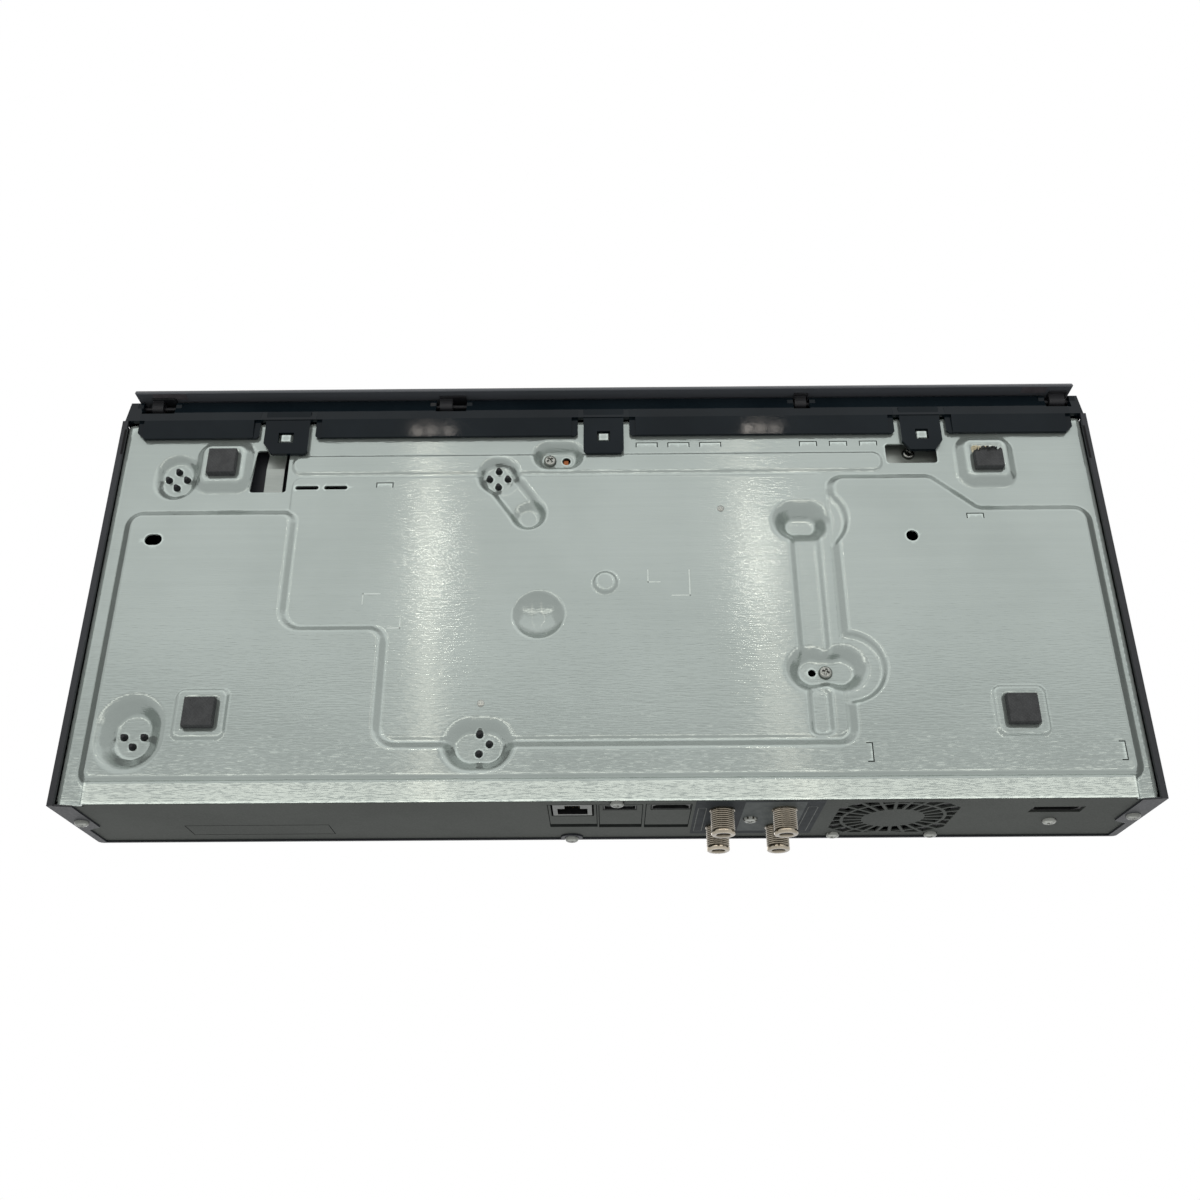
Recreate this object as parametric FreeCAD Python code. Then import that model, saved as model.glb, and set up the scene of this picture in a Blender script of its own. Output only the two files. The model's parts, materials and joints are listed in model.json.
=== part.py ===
import FreeCAD, Part
import math
import os

Vector = FreeCAD.Vector

# Overall sizes of the case, in millimetres: +X is right seen from the front, the front faces -Y
case_width = 430.0
case_depth = 177.0
case_height = 55.0
fascia_depth = 15.5
connector_reach = 9.5
ground_gap = 4.0

# Sheet metal
cover_sheet = 0.8
panel_sheet = 0.8
plate_sheet = 1.0
bracket_sheet = 1.0

# Heights of the pressed bottom plate's lower face above the ground
border_level = 7.0
field_level = 4.0
centre_level = 6.5
bead_level = 6.2
rear_band_level = 4.6
boss_level = 3.0
pad_height = 3.6
mount_floor = 10.2
pad_side = 12.0

# Clearances
running_gap = 0.05
slide_gap = 0.3
panel_gap = 0.4

# Drop-down flap
flap_thickness = 2.5
flap_bottom = 1.5
flap_top = 37.0
flap_side_gap = 4.0
hinge_height = 9.2
hinge_inset = 6.0
hinge_pin_radius = 1.0
arm_eye_radius = 2.7

# Disc drive
disc_radius = 60.0
tray_half_width = 64.0
tray_floor = 42.0
tray_length = 164.0
tray_rail_width = 7.0
drive_half_width = 74.0
drive_depth = 158.0
drive_floor = 14.0
drive_wall = 2.0
spindle_inset = 60.5
traverse_level = 26.0
traverse_thickness = 6.0
lift_angle = 4.5
cam_travel = 16.0
gear_module = 1.0
tray_gear_teeth = 16
loading_gear_teeth = 12
sled_travel = 32.0
guide_rod_offset = 20.0
lead_screw_offset = 26.2
hinge_ear_offset = 45.5
pulley_foot = 24.4
geared_pulley_groove = 6.2
motor_pulley_groove = 2.4
belt_thickness = 1.2

# Fan, aerial connectors and sockets of the rear panel
fan_size = 50.0
fan_depth = 10.0
fan_hub_radius = 12.5
grille_ring_radius = 20.5
grille_bar = 1.3
grille_bars = 24
connector_radius = 4.7
connector_pitch = 24.5

# Openings of the rear panel: x from, to, z from, to
network_opening = (-21.8, -4.9, 10.0, 25.8)
usb_opening = (-1.3, 12.0, 11.9, 17.8)
hdmi_opening = (17.4, 33.1, 10.8, 17.4)

# Boards and the hard disk
board_thickness = 1.6
power_board_z = 10.0
front_board_setback = 7.0
disk_size = (101.6, 147.0, 26.1)

# Fasteners
screw_head_radius = 2.9
screw_head_height = 1.7
screw_radius = 1.5
screw_hole_gap = 0.1
cover_screw_inset = 5.0
cover_screw_height = 22.5
lip_screw_x = -14.6
lip_screw_drop = 2.9
lance_width = 0.7

# Finest rounding worth drawing
smallest_radius = 0.05

# Planes worked out from the sizes above
half_width = case_width / 2
left_wall = -half_width
right_wall = half_width
half_depth = (fascia_depth + case_depth + connector_reach) / 2
case_rear = half_depth - connector_reach
case_front = case_rear - case_depth
front_face = -half_depth
case_bottom = ground_gap
case_top = ground_gap + case_height
cover_inner_top = case_top - cover_sheet
panel_face = case_rear - cover_sheet
panel_back = panel_face - panel_sheet
screw_hole_radius = screw_radius + screw_hole_gap
cover_screw_x = half_width - cover_screw_inset
cover_screw_z = case_bottom + cover_screw_height
lip_screw_z = case_top - lip_screw_drop
plate_half_width = half_width - cover_sheet - 1.2
plate_front = case_front + 0.2
plate_rear = case_rear - cover_sheet - 0.1
flap_inner = front_face + flap_thickness
fascia_wall_face = flap_inner + 1.3
fascia_wall = 2.0
fascia_half_width = half_width - 1.0
band_bottom = flap_top + panel_gap
hinge_y = front_face + hinge_inset
drive_x = left_wall + 97.5
drive_front = case_front + 1.5
spindle_y = case_front + spindle_inset
drive_wall_top = tray_floor + 11.5
traverse_axis = traverse_level + 3.0
lead_screw_x = drive_x - lead_screw_offset
fan_x = right_wall - 99.6
fan_z = 31.6
power_board_corner = (right_wall - 73, case_front + 25.5)
front_board_face = front_face + front_board_setback
inlet_x = right_wall - 37.1
inlet_z = 20.7
connector_x = (45.6, 45.6 + connector_pitch)
connector_z = (18.0, 18.0 + connector_pitch)


def box(x0, x1, y0, y1, z0, z1):
    """Block between two corners."""
    return Part.makeBox(x1 - x0, y1 - y0, z1 - z0, Vector(x0, y0, z0))


def rod(radius, start, end):
    """Round bar between two points."""
    axis = Vector(*end).sub(Vector(*start))
    return Part.makeCylinder(radius, axis.Length, Vector(*start), axis)


def rod_x(radius, y, z, x0, x1):
    """Round bar along X."""
    return rod(radius, (x0, y, z), (x1, y, z))


def rod_y(radius, x, z, y0, y1):
    """Round bar along Y."""
    return rod(radius, (x, y0, z), (x, y1, z))


def rod_z(radius, x, y, z0, z1):
    """Upright round bar."""
    return rod(radius, (x, y, z0), (x, y, z1))


def cone(radius_a, radius_b, start, end):
    """Tapered round bar between two points."""
    axis = Vector(*end).sub(Vector(*start))
    return Part.makeCone(radius_a, radius_b, axis.Length, Vector(*start), axis)


def inward(face, side, thickness):
    """Range of a wall of some thickness whose outer face stands on one side: -1 left, 1 right."""
    inner = face - side * thickness
    return min(face, inner), max(face, inner)


def joined(shapes):
    """One shape fused from several, with the seams between flush faces taken out."""
    first, *others = shapes
    return first.fuse(others).removeSplitter() if others else first


def outline(points, corner, grow=0.0, z=0.0):
    """Closed wire through anticlockwise points, every side moved outwards by grow; a corner of 0 stays sharp."""
    count = len(points)
    radii = corner if isinstance(corner, (list, tuple)) else [corner] * count
    heading = []
    for here, there in zip(points, points[1:] + points[:1]):
        length = math.dist(here, there)
        heading.append(((there[0] - here[0]) / length, (there[1] - here[1]) / length))
    stations = []
    for index in range(count):
        ax, ay = heading[index - 1]
        bx, by = heading[index]
        cross = ax * by - ay * bx
        dot = ax * bx + ay * by
        px, py = points[index]
        corner_x = px + grow * (ay + by) / (1 + dot)
        corner_y = py - grow * (ax + bx) / (1 + dot)
        tip = Vector(corner_x, corner_y, z)
        if not radii[index]:
            stations.append((tip, None, tip))
            continue
        radius = max(radii[index] + (grow if cross > 0 else -grow), smallest_radius)
        reach = radius * abs(cross) / (1 + dot)
        start = Vector(corner_x - ax * reach, corner_y - ay * reach, z)
        end = Vector(corner_x + bx * reach, corner_y + by * reach, z)
        side = 1 if cross > 0 else -1
        centre = Vector(start.x - ay * radius * side, start.y + ax * radius * side, z)
        middle = centre.add(tip.sub(centre).normalize().multiply(radius))
        stations.append((start, middle, end))
    edges = []
    for (start, middle, end), (following, _, _) in zip(stations, stations[1:] + stations[:1]):
        if middle:
            edges.append(Part.Arc(start, middle, end).toShape())
        if end.distanceToPoint(following) > 1e-4:
            edges.append(Part.makeLine(end, following))
    return Part.Wire(edges)


def slab(points, corner, z0, z1, grow=0.0):
    """Plate of a rounded outline between two heights."""
    return Part.Face(outline(points, corner, grow, z0)).extrude(Vector(0, 0, z1 - z0))


def sloped(points, corner, z0, grow0, z1, grow1):
    """Solid whose rounded outline grows or shrinks from one height to the other."""
    wires = [outline(points, corner, grow0, z0), outline(points, corner, grow1, z1)]
    return Part.makeLoft(wires, True, True)


def rectangle(cx, cy, width, height):
    """Anticlockwise corners of a rectangle about a centre."""
    x, y = width / 2, height / 2
    return [(cx - x, cy - y), (cx + x, cy - y), (cx + x, cy + y), (cx - x, cy + y)]


def bar(cx, cy, width, height):
    """Corners and corner radius of a rectangle whose short ends are round."""
    return rectangle(cx, cy, width, height), min(width, height) / 2 - 0.01


def side_profile(points, x0, x1):
    """Solid of a (y, z) profile carried along X."""
    wire = Part.makePolygon([Vector(x0, y, z) for y, z in points + points[:1]])
    return Part.Face(wire).extrude(Vector(x1 - x0, 0, 0))


def rear_profile(points, y0, y1):
    """Solid of an (x, z) profile carried along Y."""
    wire = Part.makePolygon([Vector(x, y0, z) for x, z in points + points[:1]])
    return Part.Face(wire).extrude(Vector(0, y1 - y0, 0))


def turned(points, centre, axis=(0, 0, 1)):
    """Solid of revolution of a (radius, height) profile about an axis through a centre."""
    wire = Part.makePolygon([Vector(r, 0, h) for r, h in points + points[:1]])
    shape = Part.Face(wire).revolve(Vector(0, 0, 0), Vector(0, 0, 1), 360)
    shape.Placement = FreeCAD.Placement(Vector(*centre), FreeCAD.Rotation(Vector(0, 0, 1), Vector(*axis)))
    return shape


def screw(head_seat, axis, length):
    """Pan head screw without its cross recess; the axis points from the seat out of the head."""
    top = screw_head_height
    profile = [(0, -length), (screw_radius, -length), (screw_radius, 0), (screw_head_radius, 0),
               (screw_head_radius, top * 0.5), (screw_head_radius * 0.6, top), (0, top)]
    return turned(profile, head_seat, axis)


def gear(centre, teeth, z0, z1, first_angle):
    """Spur gear blank with backlash; a tooth is centred on the first angle, in degrees."""
    pitch_radius = gear_module * teeth / 2
    tip = pitch_radius + 0.8 * gear_module
    root = pitch_radius - 1.15 * gear_module
    step = 2 * math.pi / teeth
    points = []
    for index in range(teeth):
        middle = math.radians(first_angle) + index * step
        for radius, share in ((root, -0.27), (tip, -0.11), (tip, 0.11), (root, 0.27)):
            angle = middle + share * step
            points.append(Vector(centre[0] + radius * math.cos(angle),
                                 centre[1] + radius * math.sin(angle), z0))
    return Part.Face(Part.makePolygon(points + points[:1])).extrude(Vector(0, 0, z1 - z0))


# Places where the drive is held: prong centre, recess centre, wide and narrow sizes of the recess
mounts = {
    "front_left": {"prongs": (drive_x - 70.5, case_front + 27.7),
                   "centre": (drive_x - 70.3, case_front + 27.9),
                   "wide": (20.3, 23.0), "narrow": (12.2, 17.3),
                   "round": ((0, -4), (-4, 0), (4, 0), (0, 4))},
    "front_centre": {"prongs": (drive_x + 71.2, case_front + 28.5),
                     "centre": (drive_x + 71.2, case_front + 28.5),
                     "wide": (20.0, 20.0), "narrow": (12.0, 12.0),
                     "round": ((0, -4), (-4, 0), (4, 0), (0, 4))},
    "rear_left": {"prongs": (drive_x - 70.5, case_front + 147.4),
                  "centre": (drive_x - 70.5, case_front + 147.5),
                  "wide": (28.5, 33.0), "narrow": (12.8, 18.5), "round": ((-4, 0), (4, 0), (0, 4))},
    "rear_centre": {"prongs": (drive_x + 67.3, case_front + 151.2),
                    "centre": (drive_x + 67.3, case_front + 152.9),
                    "wide": (30.7, 23.5), "narrow": (18.2, 12.9), "round": ((0, -4), (0, 4), (4, 0))},
}
feet = {
    "front_left": (left_wall + 48.2, case_front + 23.4),
    "front_right": (right_wall - 47.4, case_front + 23.4),
    "rear_left": (left_wall + 54.2, case_rear - 37.0),
    "rear_right": (right_wall - 50.6, case_rear - 36.2),
}
lobe_y = case_front + 121.3
lobe_x = right_wall - 125.0
dish_x = right_wall - 130.2
dish_y = case_front + 52.4
pocket = (-20.0, case_front + 18.2)
dent = (-27.5, case_front + 96.1)
dimple = (0.3, case_front + 81.6)
pear_low = (mounts["front_centre"]["centre"][0] + 13.6, case_front + 47.9)
bracket_screw = (right_wall - 79.1, case_front + 15.5)


def field_outline():
    """Deep field of the plate, round its left, rear and right parts, and its corner radii."""
    field_rear = case_rear - 9.4
    points = [
        (left_wall + 10.5, case_front + 47.0), (drive_x - 15.8, case_front + 47.0),
        (drive_x - 15.8, case_front + 101.9), (drive_x + 26.9, case_front + 101.9),
        (drive_x + 26.9, case_front + 152.9), (right_wall - 117.0, case_front + 152.9),
        (right_wall - 117.0, case_front + 31.2), (right_wall - 73.2, case_front + 31.2),
        (right_wall - 54.1, case_front + 47.5), (right_wall - 7.7, case_front + 47.5),
        (right_wall - 7.7, field_rear), (left_wall + 10.5, field_rear),
    ]
    return points, [6, 5, 8, 6.5, 8, 6, 6, 6, 6, 6, 5, 5]


def centre_outline():
    """Shallow middle field of the plate."""
    return [(drive_x - 18.7, case_front + 29.0), (right_wall - 119.0, case_front + 29.0),
            (right_wall - 119.0, case_front + 150.0), (drive_x - 18.7, case_front + 150.0)]


def space_above_plate(lift, spare):
    """Everything above the pressed plate's surface, raised by lift, its edges moved out by spare."""
    level = border_level + lift
    field = field_level + lift
    middle = centre_level + lift
    reach = plate_half_width + spare
    solid = box(-reach, reach, plate_front - spare, plate_rear + spare, level, 20)
    points, radii = field_outline()
    pressed = [sloped(points, radii, field, -1.7, level, 1.7),
               sloped(centre_outline(), 4, middle, -0.5, level, 0.5)]
    bead = rectangle((drive_x + right_wall - 105) / 2 - 3.6, case_front + 22.5,
                     right_wall - 105 - drive_x + 31.6, 9.0)
    pressed.append(sloped(bead, 4, bead_level + lift, -0.6, level, 0.6))
    band = [(left_wall + 12, case_rear - 10.4), (right_wall - 10, case_rear - 10.4),
            (right_wall - 10, plate_rear + spare + 2), (left_wall + 12, plate_rear + spare + 2)]
    pressed.append(sloped(band, 0.3, rear_band_level + lift, -0.1, level, 1.0))
    for place, (x, y) in feet.items():
        if place.startswith("front"):
            rim = rectangle(x, y, 17.5, 17.5)
            pressed.append(sloped(rim, 2.5, boss_level + lift, 0, level, 4.3))
        else:
            rim = rectangle(x, y, 20.0, 20.5)
            pressed.append(sloped(rim, 3, boss_level + lift, 0, field + 0.01, 1.6))
    for x, y, width in ((drive_x - 23.6, case_front + 9.3, 5.6), (0, case_front + 9.8, 4.4),
                        (right_wall - 74, case_front + 9.9, 4.4)):
        pressed.append(sloped(rectangle(x, y, width, 4.2), 0.4, 5.0 + lift, 0, level, 0.3))
    solid = solid.fuse(pressed)
    bulges = [cone(17.0, 13.6, (right_wall - 126.6, dish_y, field - 2),
                   (right_wall - 126.6, dish_y, middle)),
              cone(16.8, 13.2, (right_wall - 117.0, lobe_y, field - 2),
                   (right_wall - 117.0, lobe_y, middle))]
    solid = solid.cut(bulges)
    solid = solid.fuse(sloped([(x + dimple[0], y + dimple[1]) for x, y in rectangle(0, 0, 8.4, 8.4)], 4.19,
                              middle - 1.2, 0, middle, 1.7))
    footprint = box(-reach, reach, plate_front - spare, plate_rear + spare, 0, 20)
    return solid.cut(plate_recesses(lift)).common(footprint)


def plate_recesses(lift):
    """Recesses that rise from the plate's surface into the case."""
    low = field_level - 3 + lift
    cuts = []
    for name, mount in mounts.items():
        x, y = mount["centre"]
        wide, narrow = mount["wide"], mount["narrow"]
        start = border_level if name.startswith("front") else (field_level + centre_level) / 2
        slope = ((wide[0] - narrow[0]) / 2) / (mount_floor - start)
        points, radius = bar(x, y, *narrow)
        cuts.append(sloped(points, radius, low, slope * (mount_floor + lift - low), mount_floor + lift, 0))
    (ax, ay), (bx, by) = mounts["front_centre"]["centre"], pear_low
    turn = math.degrees(math.atan2(by - ay, bx - ax))
    bridge_points, bridge_radius = bar(0, 0, math.dist((ax, ay), (bx, by)) + 8, 8)
    bridge = sloped(bridge_points, bridge_radius, low, 8.0, 9.4 + lift, 1.2)
    bridge.rotate(Vector(0, 0, 0), Vector(0, 0, 1), turn)
    bridge.translate(Vector((ax + bx) / 2, (ay + by) / 2, 0))
    cuts.append(bridge)
    cuts.append(cone(12.5, 4.0, (bx, by, low), (bx, by, 11.5 + lift)))
    points, radius = bar(*pocket, 15.2, 7.3)
    cuts.append(sloped(points, radius, low, 9.5, 12.0 + lift, 0))
    ball_radius = 15.6
    ball = Part.makeSphere(ball_radius, Vector(*dent, 10.9 + lift - ball_radius))
    cuts.append(ball.common(box(-60, 60, dent[1] - 30, dent[1] + 30, low, 10.7 + lift)))
    points, radius = bar(dish_x, dish_y, 12.1, 7.0)
    cuts.append(sloped(points, radius, low, 11.5, 13.5 + lift, 0))
    channel = rectangle(right_wall - 129.4, (dish_y + lobe_y) / 2, 7.0, lobe_y - dish_y)
    cuts.append(sloped(channel, 1.5, low, 8.0, 8.0 + lift, 0))
    lower_channel = rectangle(right_wall - 129.0, lobe_y + 18, 5.0, 17.0)
    cuts.append(sloped(lower_channel, 2.0, low, 8.0, 8.0 + lift, 0))
    for x, wide, narrow in ((right_wall - 131.4, 10.65, 4.6), (right_wall - 118.8, 10.65, 4.6)):
        slope = (wide - narrow) / (11.3 - centre_level)
        cuts.append(cone(narrow + slope * (11.3 + lift - low), narrow, (x, lobe_y, low),
                         (x, lobe_y, 11.3 + lift)))
    waist = rectangle(lobe_x, lobe_y, 12.6, 8.6)
    cuts.append(sloped(waist, 0.5, low, 7.0, 11.3 + lift, 0))
    return cuts


def three_sided_cut(x, y, width, depth, cut=lance_width):
    """Thin lance cut on three sides of a tongue, open towards +Y."""
    tongue = box(x - width / 2, x + width / 2, y - depth / 2, y + depth / 2, 0, 20)
    inner = box(x - width / 2 + cut, x + width / 2 - cut, y - depth / 2 + cut, y + depth / 2 + cut, 0, 20)
    return tongue.cut(inner)


def bottom_plate():
    """Galvanised bottom plate: pressed fields, beads, recesses and bosses, holes, lances and turned-up edges."""
    plate = space_above_plate(0, 0).cut(space_above_plate(plate_sheet, 3))
    holes = []
    for mount in mounts.values():
        x, y = mount["prongs"]
        holes += [rod_z(1.6, x + dx, y + dy, 5, 14) for dx, dy in mount["round"]]
    for x, y in feet.values():
        holes.append(slab(rectangle(x, y, pad_side + 1.4, pad_side + 1.4), 1.0, 0, pad_height))
        holes.append(rod_z(1.2, x, y, 0, 9))
    for cx, cy, width, height in ((left_wall + 23, case_front + 60.7, 7.4, 5.3),
                                  (drive_x - 12.2, case_front + 34.1, 10.2, 1.9),
                                  (drive_x + 0.4, case_front + 34.1, 10.2, 1.9)):
        holes.append(slab(*bar(cx, cy, width, height), 0, 20))
    holes.append(rod_z(2.55, right_wall - 84.4, case_front + 61.5, 0, 9))
    holes.append(rod(screw_hole_radius, (*bracket_screw, 0), (*bracket_screw, 9)))
    for x, y, width in ((drive_x + 21.8, case_front + 33, 7.5), (right_wall - 56.4, case_front + 52, 7.5),
                        (19.1, case_front + 13, 9.8), (33.2, case_front + 13, 9.8),
                        (47.3, case_front + 13, 9.8),
                        (right_wall - 124.3, case_front + 13, 8), (right_wall - 111, case_front + 13, 8),
                        (right_wall - 97.7, case_front + 13, 8)):
        holes.append(three_sided_cut(x, y, width, 2.6))
    for x in (right_wall - 111.9, right_wall - 13.4):
        lance = three_sided_cut(0, 0, 8, 2.6)
        lance.rotate(Vector(0, 0, 0), Vector(0, 0, 1), 90)
        lance.translate(Vector(x, case_front + 157.6, 0))
        holes.append(lance)
    holes.append(slab([(drive_x - 37.4, case_front + 36), (drive_x - 36, case_front + 14.5),
                       (drive_x - 21.5, case_front + 14.5), (drive_x - 21.5, case_front + 36)], 1.0, 0, 12))
    holes.append(slab([(right_wall - 90.5, case_front + 13.5), (right_wall - 68, case_front + 13.5),
                       (right_wall - 68, case_front + 23.5), (right_wall - 90.5, case_front + 23.5)], 1.5,
                       0, 12))
    holes.append(rod_z(screw_hole_radius, pocket[0] - 3.9, pocket[1], 9, 15))
    holes.append(rod_z(1.9, pocket[0] + 3.4, pocket[1], 9, 15))
    holes.append(rod_z(screw_hole_radius, lobe_x - 0.2, lobe_y, 9, 15))
    holes.append(rod_z(1.6, lobe_x - 5.7, lobe_y, 9, 15))
    plate = plate.cut(holes)
    edge_top = border_level + 15
    edges = [box(*inward(side * plate_half_width, side, plate_sheet), plate_front, plate_rear - 1.7,
                 border_level, edge_top) for side in (-1, 1)]
    edges.append(box(-plate_half_width, plate_half_width, plate_front, plate_front + plate_sheet,
                     border_level, border_level + 5.5))
    return joined([plate] + edges)


def foot_pads():
    """Four square rubber feet pads, seated in the plate's recesses."""
    pads = []
    for x, y in feet.values():
        pads.append(slab(rectangle(x, y, pad_side, pad_side), 0.8, 0, pad_height))
    return Part.makeCompound(pads)


def cover_screw_places():
    """Seats of the cover's screws: x, z."""
    return [(-cover_screw_x, cover_screw_z), (cover_screw_x, cover_screw_z), (lip_screw_x, lip_screw_z)]


def top_cover():
    """Painted steel cover: top, sides with folded hems, rear flanges, rear lip and screw tab."""
    def shell_profile(inset, low):
        x = half_width - inset
        z = case_top - inset
        points = [(-x, low), (x, low), (x, z), (-x, z)]
        flat = slab(points, [0, 0, 2.0, 2.0], 0, case_depth)
        flat.rotate(Vector(0, 0, 0), Vector(1, 0, 0), 90)
        return flat

    shell = shell_profile(0, case_bottom).cut(shell_profile(cover_sheet, case_bottom - 5))
    shell.translate(Vector(0, case_rear, 0))
    pieces = [shell]
    hem_width = 2.4
    hem_height = 2 * cover_sheet
    for side in (-1, 1):
        outer = side * (half_width - cover_sheet / 2)
        inner = side * (half_width - hem_width)
        pieces.append(box(min(outer, inner), max(outer, inner), case_front, case_rear, case_bottom,
                          case_bottom + hem_height))
        flange = [(outer, case_bottom + 0.2), (side * (half_width - 9), case_bottom + 2),
                  (side * (half_width - 9), case_bottom + 31),
                  (side * (half_width - 3.3), case_bottom + 35),
                  (side * (half_width - 3.3), case_top - 1), (outer, case_top - 1)]
        pieces.append(rear_profile(flange, panel_face, case_rear))
    pieces.append(box(-half_width + 2, half_width - 2, panel_face, case_rear, case_top - 1.2,
                      case_top - 0.3))
    tab = rod_y(4.6, lip_screw_x, lip_screw_z, panel_face, case_rear)
    pieces.append(tab.common(box(lip_screw_x - 6, lip_screw_x + 6, panel_face - 1, case_rear + 1,
                                 case_top - 8, case_top - 0.2)))
    cover = joined(pieces)
    holes = [rod_y(screw_hole_radius, x, z, panel_face - 1, case_rear + 1) for x, z in cover_screw_places()]
    return cover.cut(holes)


def grille_openings():
    """The gaps of the fan grille: a clipped square less hub, ring and radial bars."""
    half_x, low, high, clip = 23.8, 22.0, 21.0, 7.5
    points = [(fan_x - half_x + clip, fan_z - low), (fan_x + half_x - clip, fan_z - low),
              (fan_x + half_x, fan_z - low + clip), (fan_x + half_x, fan_z + high - clip),
              (fan_x + half_x - clip, fan_z + high), (fan_x - half_x + clip, fan_z + high),
              (fan_x - half_x, fan_z + high - clip), (fan_x - half_x, fan_z - low + clip)]
    start, end = panel_back - 1, panel_face + 1
    field = rear_profile(points, start, end)
    solid_parts = [rod_y(fan_hub_radius, fan_x, fan_z, start, end)]
    ring = rod_y(grille_ring_radius + grille_bar / 2, fan_x, fan_z, start, end)
    ring = ring.cut(rod_y(grille_ring_radius - grille_bar / 2, fan_x, fan_z, start - 1, end + 1))
    solid_parts.append(ring)
    for index in range(grille_bars):
        spoke = box(fan_hub_radius - 1, half_x * 1.5, start, end, -grille_bar / 2, grille_bar / 2)
        spoke.rotate(Vector(0, 0, 0), Vector(0, 1, 0), 360 * (index + 0.5) / grille_bars)
        spoke.translate(Vector(fan_x, 0, fan_z))
        solid_parts.append(spoke)
    return field.cut(solid_parts)


def panel_screw_places():
    """Seats of the rear panel's screws: x, z."""
    return [(4.2, 7.4), (57.9, 30.4), (fan_x - 20.5, case_top - 4.2), (fan_x + 20.5, case_top - 4.2),
            (inlet_x + 1.7, inlet_z + 14.9)]


def fan_screw_places():
    """The two of those screws that hold the fan."""
    return panel_screw_places()[2:4]


def rear_panel():
    """Painted rear panel with its openings, the fan grille and a foot flange on the plate."""
    plate_top = rear_band_level + plate_sheet
    panel = box(-plate_half_width, plate_half_width, panel_back, panel_face, border_level + plate_sheet,
                cover_inner_top - 0.2)
    lower = box(left_wall + 13, right_wall - 11, panel_back, panel_face, plate_top, border_level + 2)
    flange = box(left_wall + 16, right_wall - 14, panel_back - 5, panel_face, plate_top,
                 plate_top + panel_sheet)
    panel = joined([panel, lower, flange])
    start, end = panel_back - 1, panel_face + 1
    cuts = [grille_openings()]
    for x0, x1, z0, z1 in (network_opening, usb_opening, hdmi_opening):
        cuts.append(box(x0, x1, start, end, z0, z1))
    cuts.append(box(inlet_x - 10.3, inlet_x + 10.3, start, end, inlet_z - 3.7, inlet_z + 3.7))
    for x in connector_x:
        for z in connector_z:
            hole = rod_y(connector_radius + 0.6, x, z, start, end)
            cuts.append(hole)
    for x, z in panel_screw_places():
        cuts.append(rod_y(screw_hole_radius, x, z, panel_back - 8, end))
    for x, z in cover_screw_places():
        cuts.append(rod_y(screw_hole_radius, x, z, start, end))
    return panel.cut(cuts)


# Hinge slots of the flap: slot from, to; arm from, to
hinges = [
    (left_wall + 7.1, left_wall + 21.8, left_wall + 10.8, left_wall + 15.8),
    (-75.4, -61.7, -74.0, -68.2),
    (85.6, 92.9, 86.4, 91.6),
    (right_wall - 16.3, right_wall - 5.1, right_wall - 13.8, right_wall - 6.9),
]
tray_opening = (drive_x - tray_half_width - 4.4, drive_x + tray_half_width + 4.4, band_bottom + 1.2, 49.9)
window_frame = (-22.0, 72.0, 41.0, 53.5)
power_place = (left_wall + 9.0, left_wall + 23.0, 42.5, 49.5)
eject_place = (-42.0, -30.0, 42.5, 49.5)
front_usb = (right_wall - 63.0, 18.8)
card_slot_x = right_wall - 86.0
memory_slot_x = right_wall - 32.0
front_board_top = 16.6


# Snap tabs under the fascia: from, to, rear edge; window centre and width; cut corners left and right
fascia_tabs = (
    (drive_x - 33.3, drive_x - 13.5, case_front + 17.7, drive_x - 23.6, case_front + 9.3, 6.8, 4.0, 1.0),
    (-8.9, 8.9, case_front + 18.6, 0, case_front + 9.8, 5.7, 1.2, 1.2),
    (right_wall - 83.1, right_wall - 65.3, case_front + 18.0, right_wall - 74, case_front + 9.9, 5.6, 3.2,
     3.4),
)
tab_gap = 2.6
lip_low, lip_high = 4.8, 6.1


def fascia_lips():
    """Strips between the tabs and the ends: from, to, cut corners left and right."""
    tab_sides = [x for tab in fascia_tabs for x in (tab[0] - tab_gap, tab[1] + tab_gap)]
    ends = [left_wall + 7] + tab_sides + [right_wall - 6.6]
    return [(x0, x1, 3.4 if x0 == ends[0] else 1.2, 3.0 if x1 == ends[-1] else 1.2)
            for x0, x1 in zip(ends[::2], ends[1::2])]


def fascia_lip(x0, x1, left_cut, right_cut):
    """Strip that runs from the fascia's underside back over the plate's edge, thinner at its two ends."""
    front, rear = case_front - 4.5, case_front + 9.0
    lug = 2.7
    strip = side_profile([(front, lip_high), (front, case_bottom + 1.0), (case_front, case_bottom),
                          (rear, lip_low),
                          (rear, lip_high)], x0, x1)
    points = [(x0, front), (x1, front), (x1, rear - right_cut), (x1 - right_cut, rear),
              (x0 + left_cut, rear),
              (x0, rear - left_cut)]
    strip = strip.common(slab(points, 0, case_bottom, lip_high))
    steps = [box(x, x + lug, case_front, rear, case_bottom, lip_low + 0.5) for x in (x0, x1 - lug)]
    return strip.cut(steps)


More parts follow.
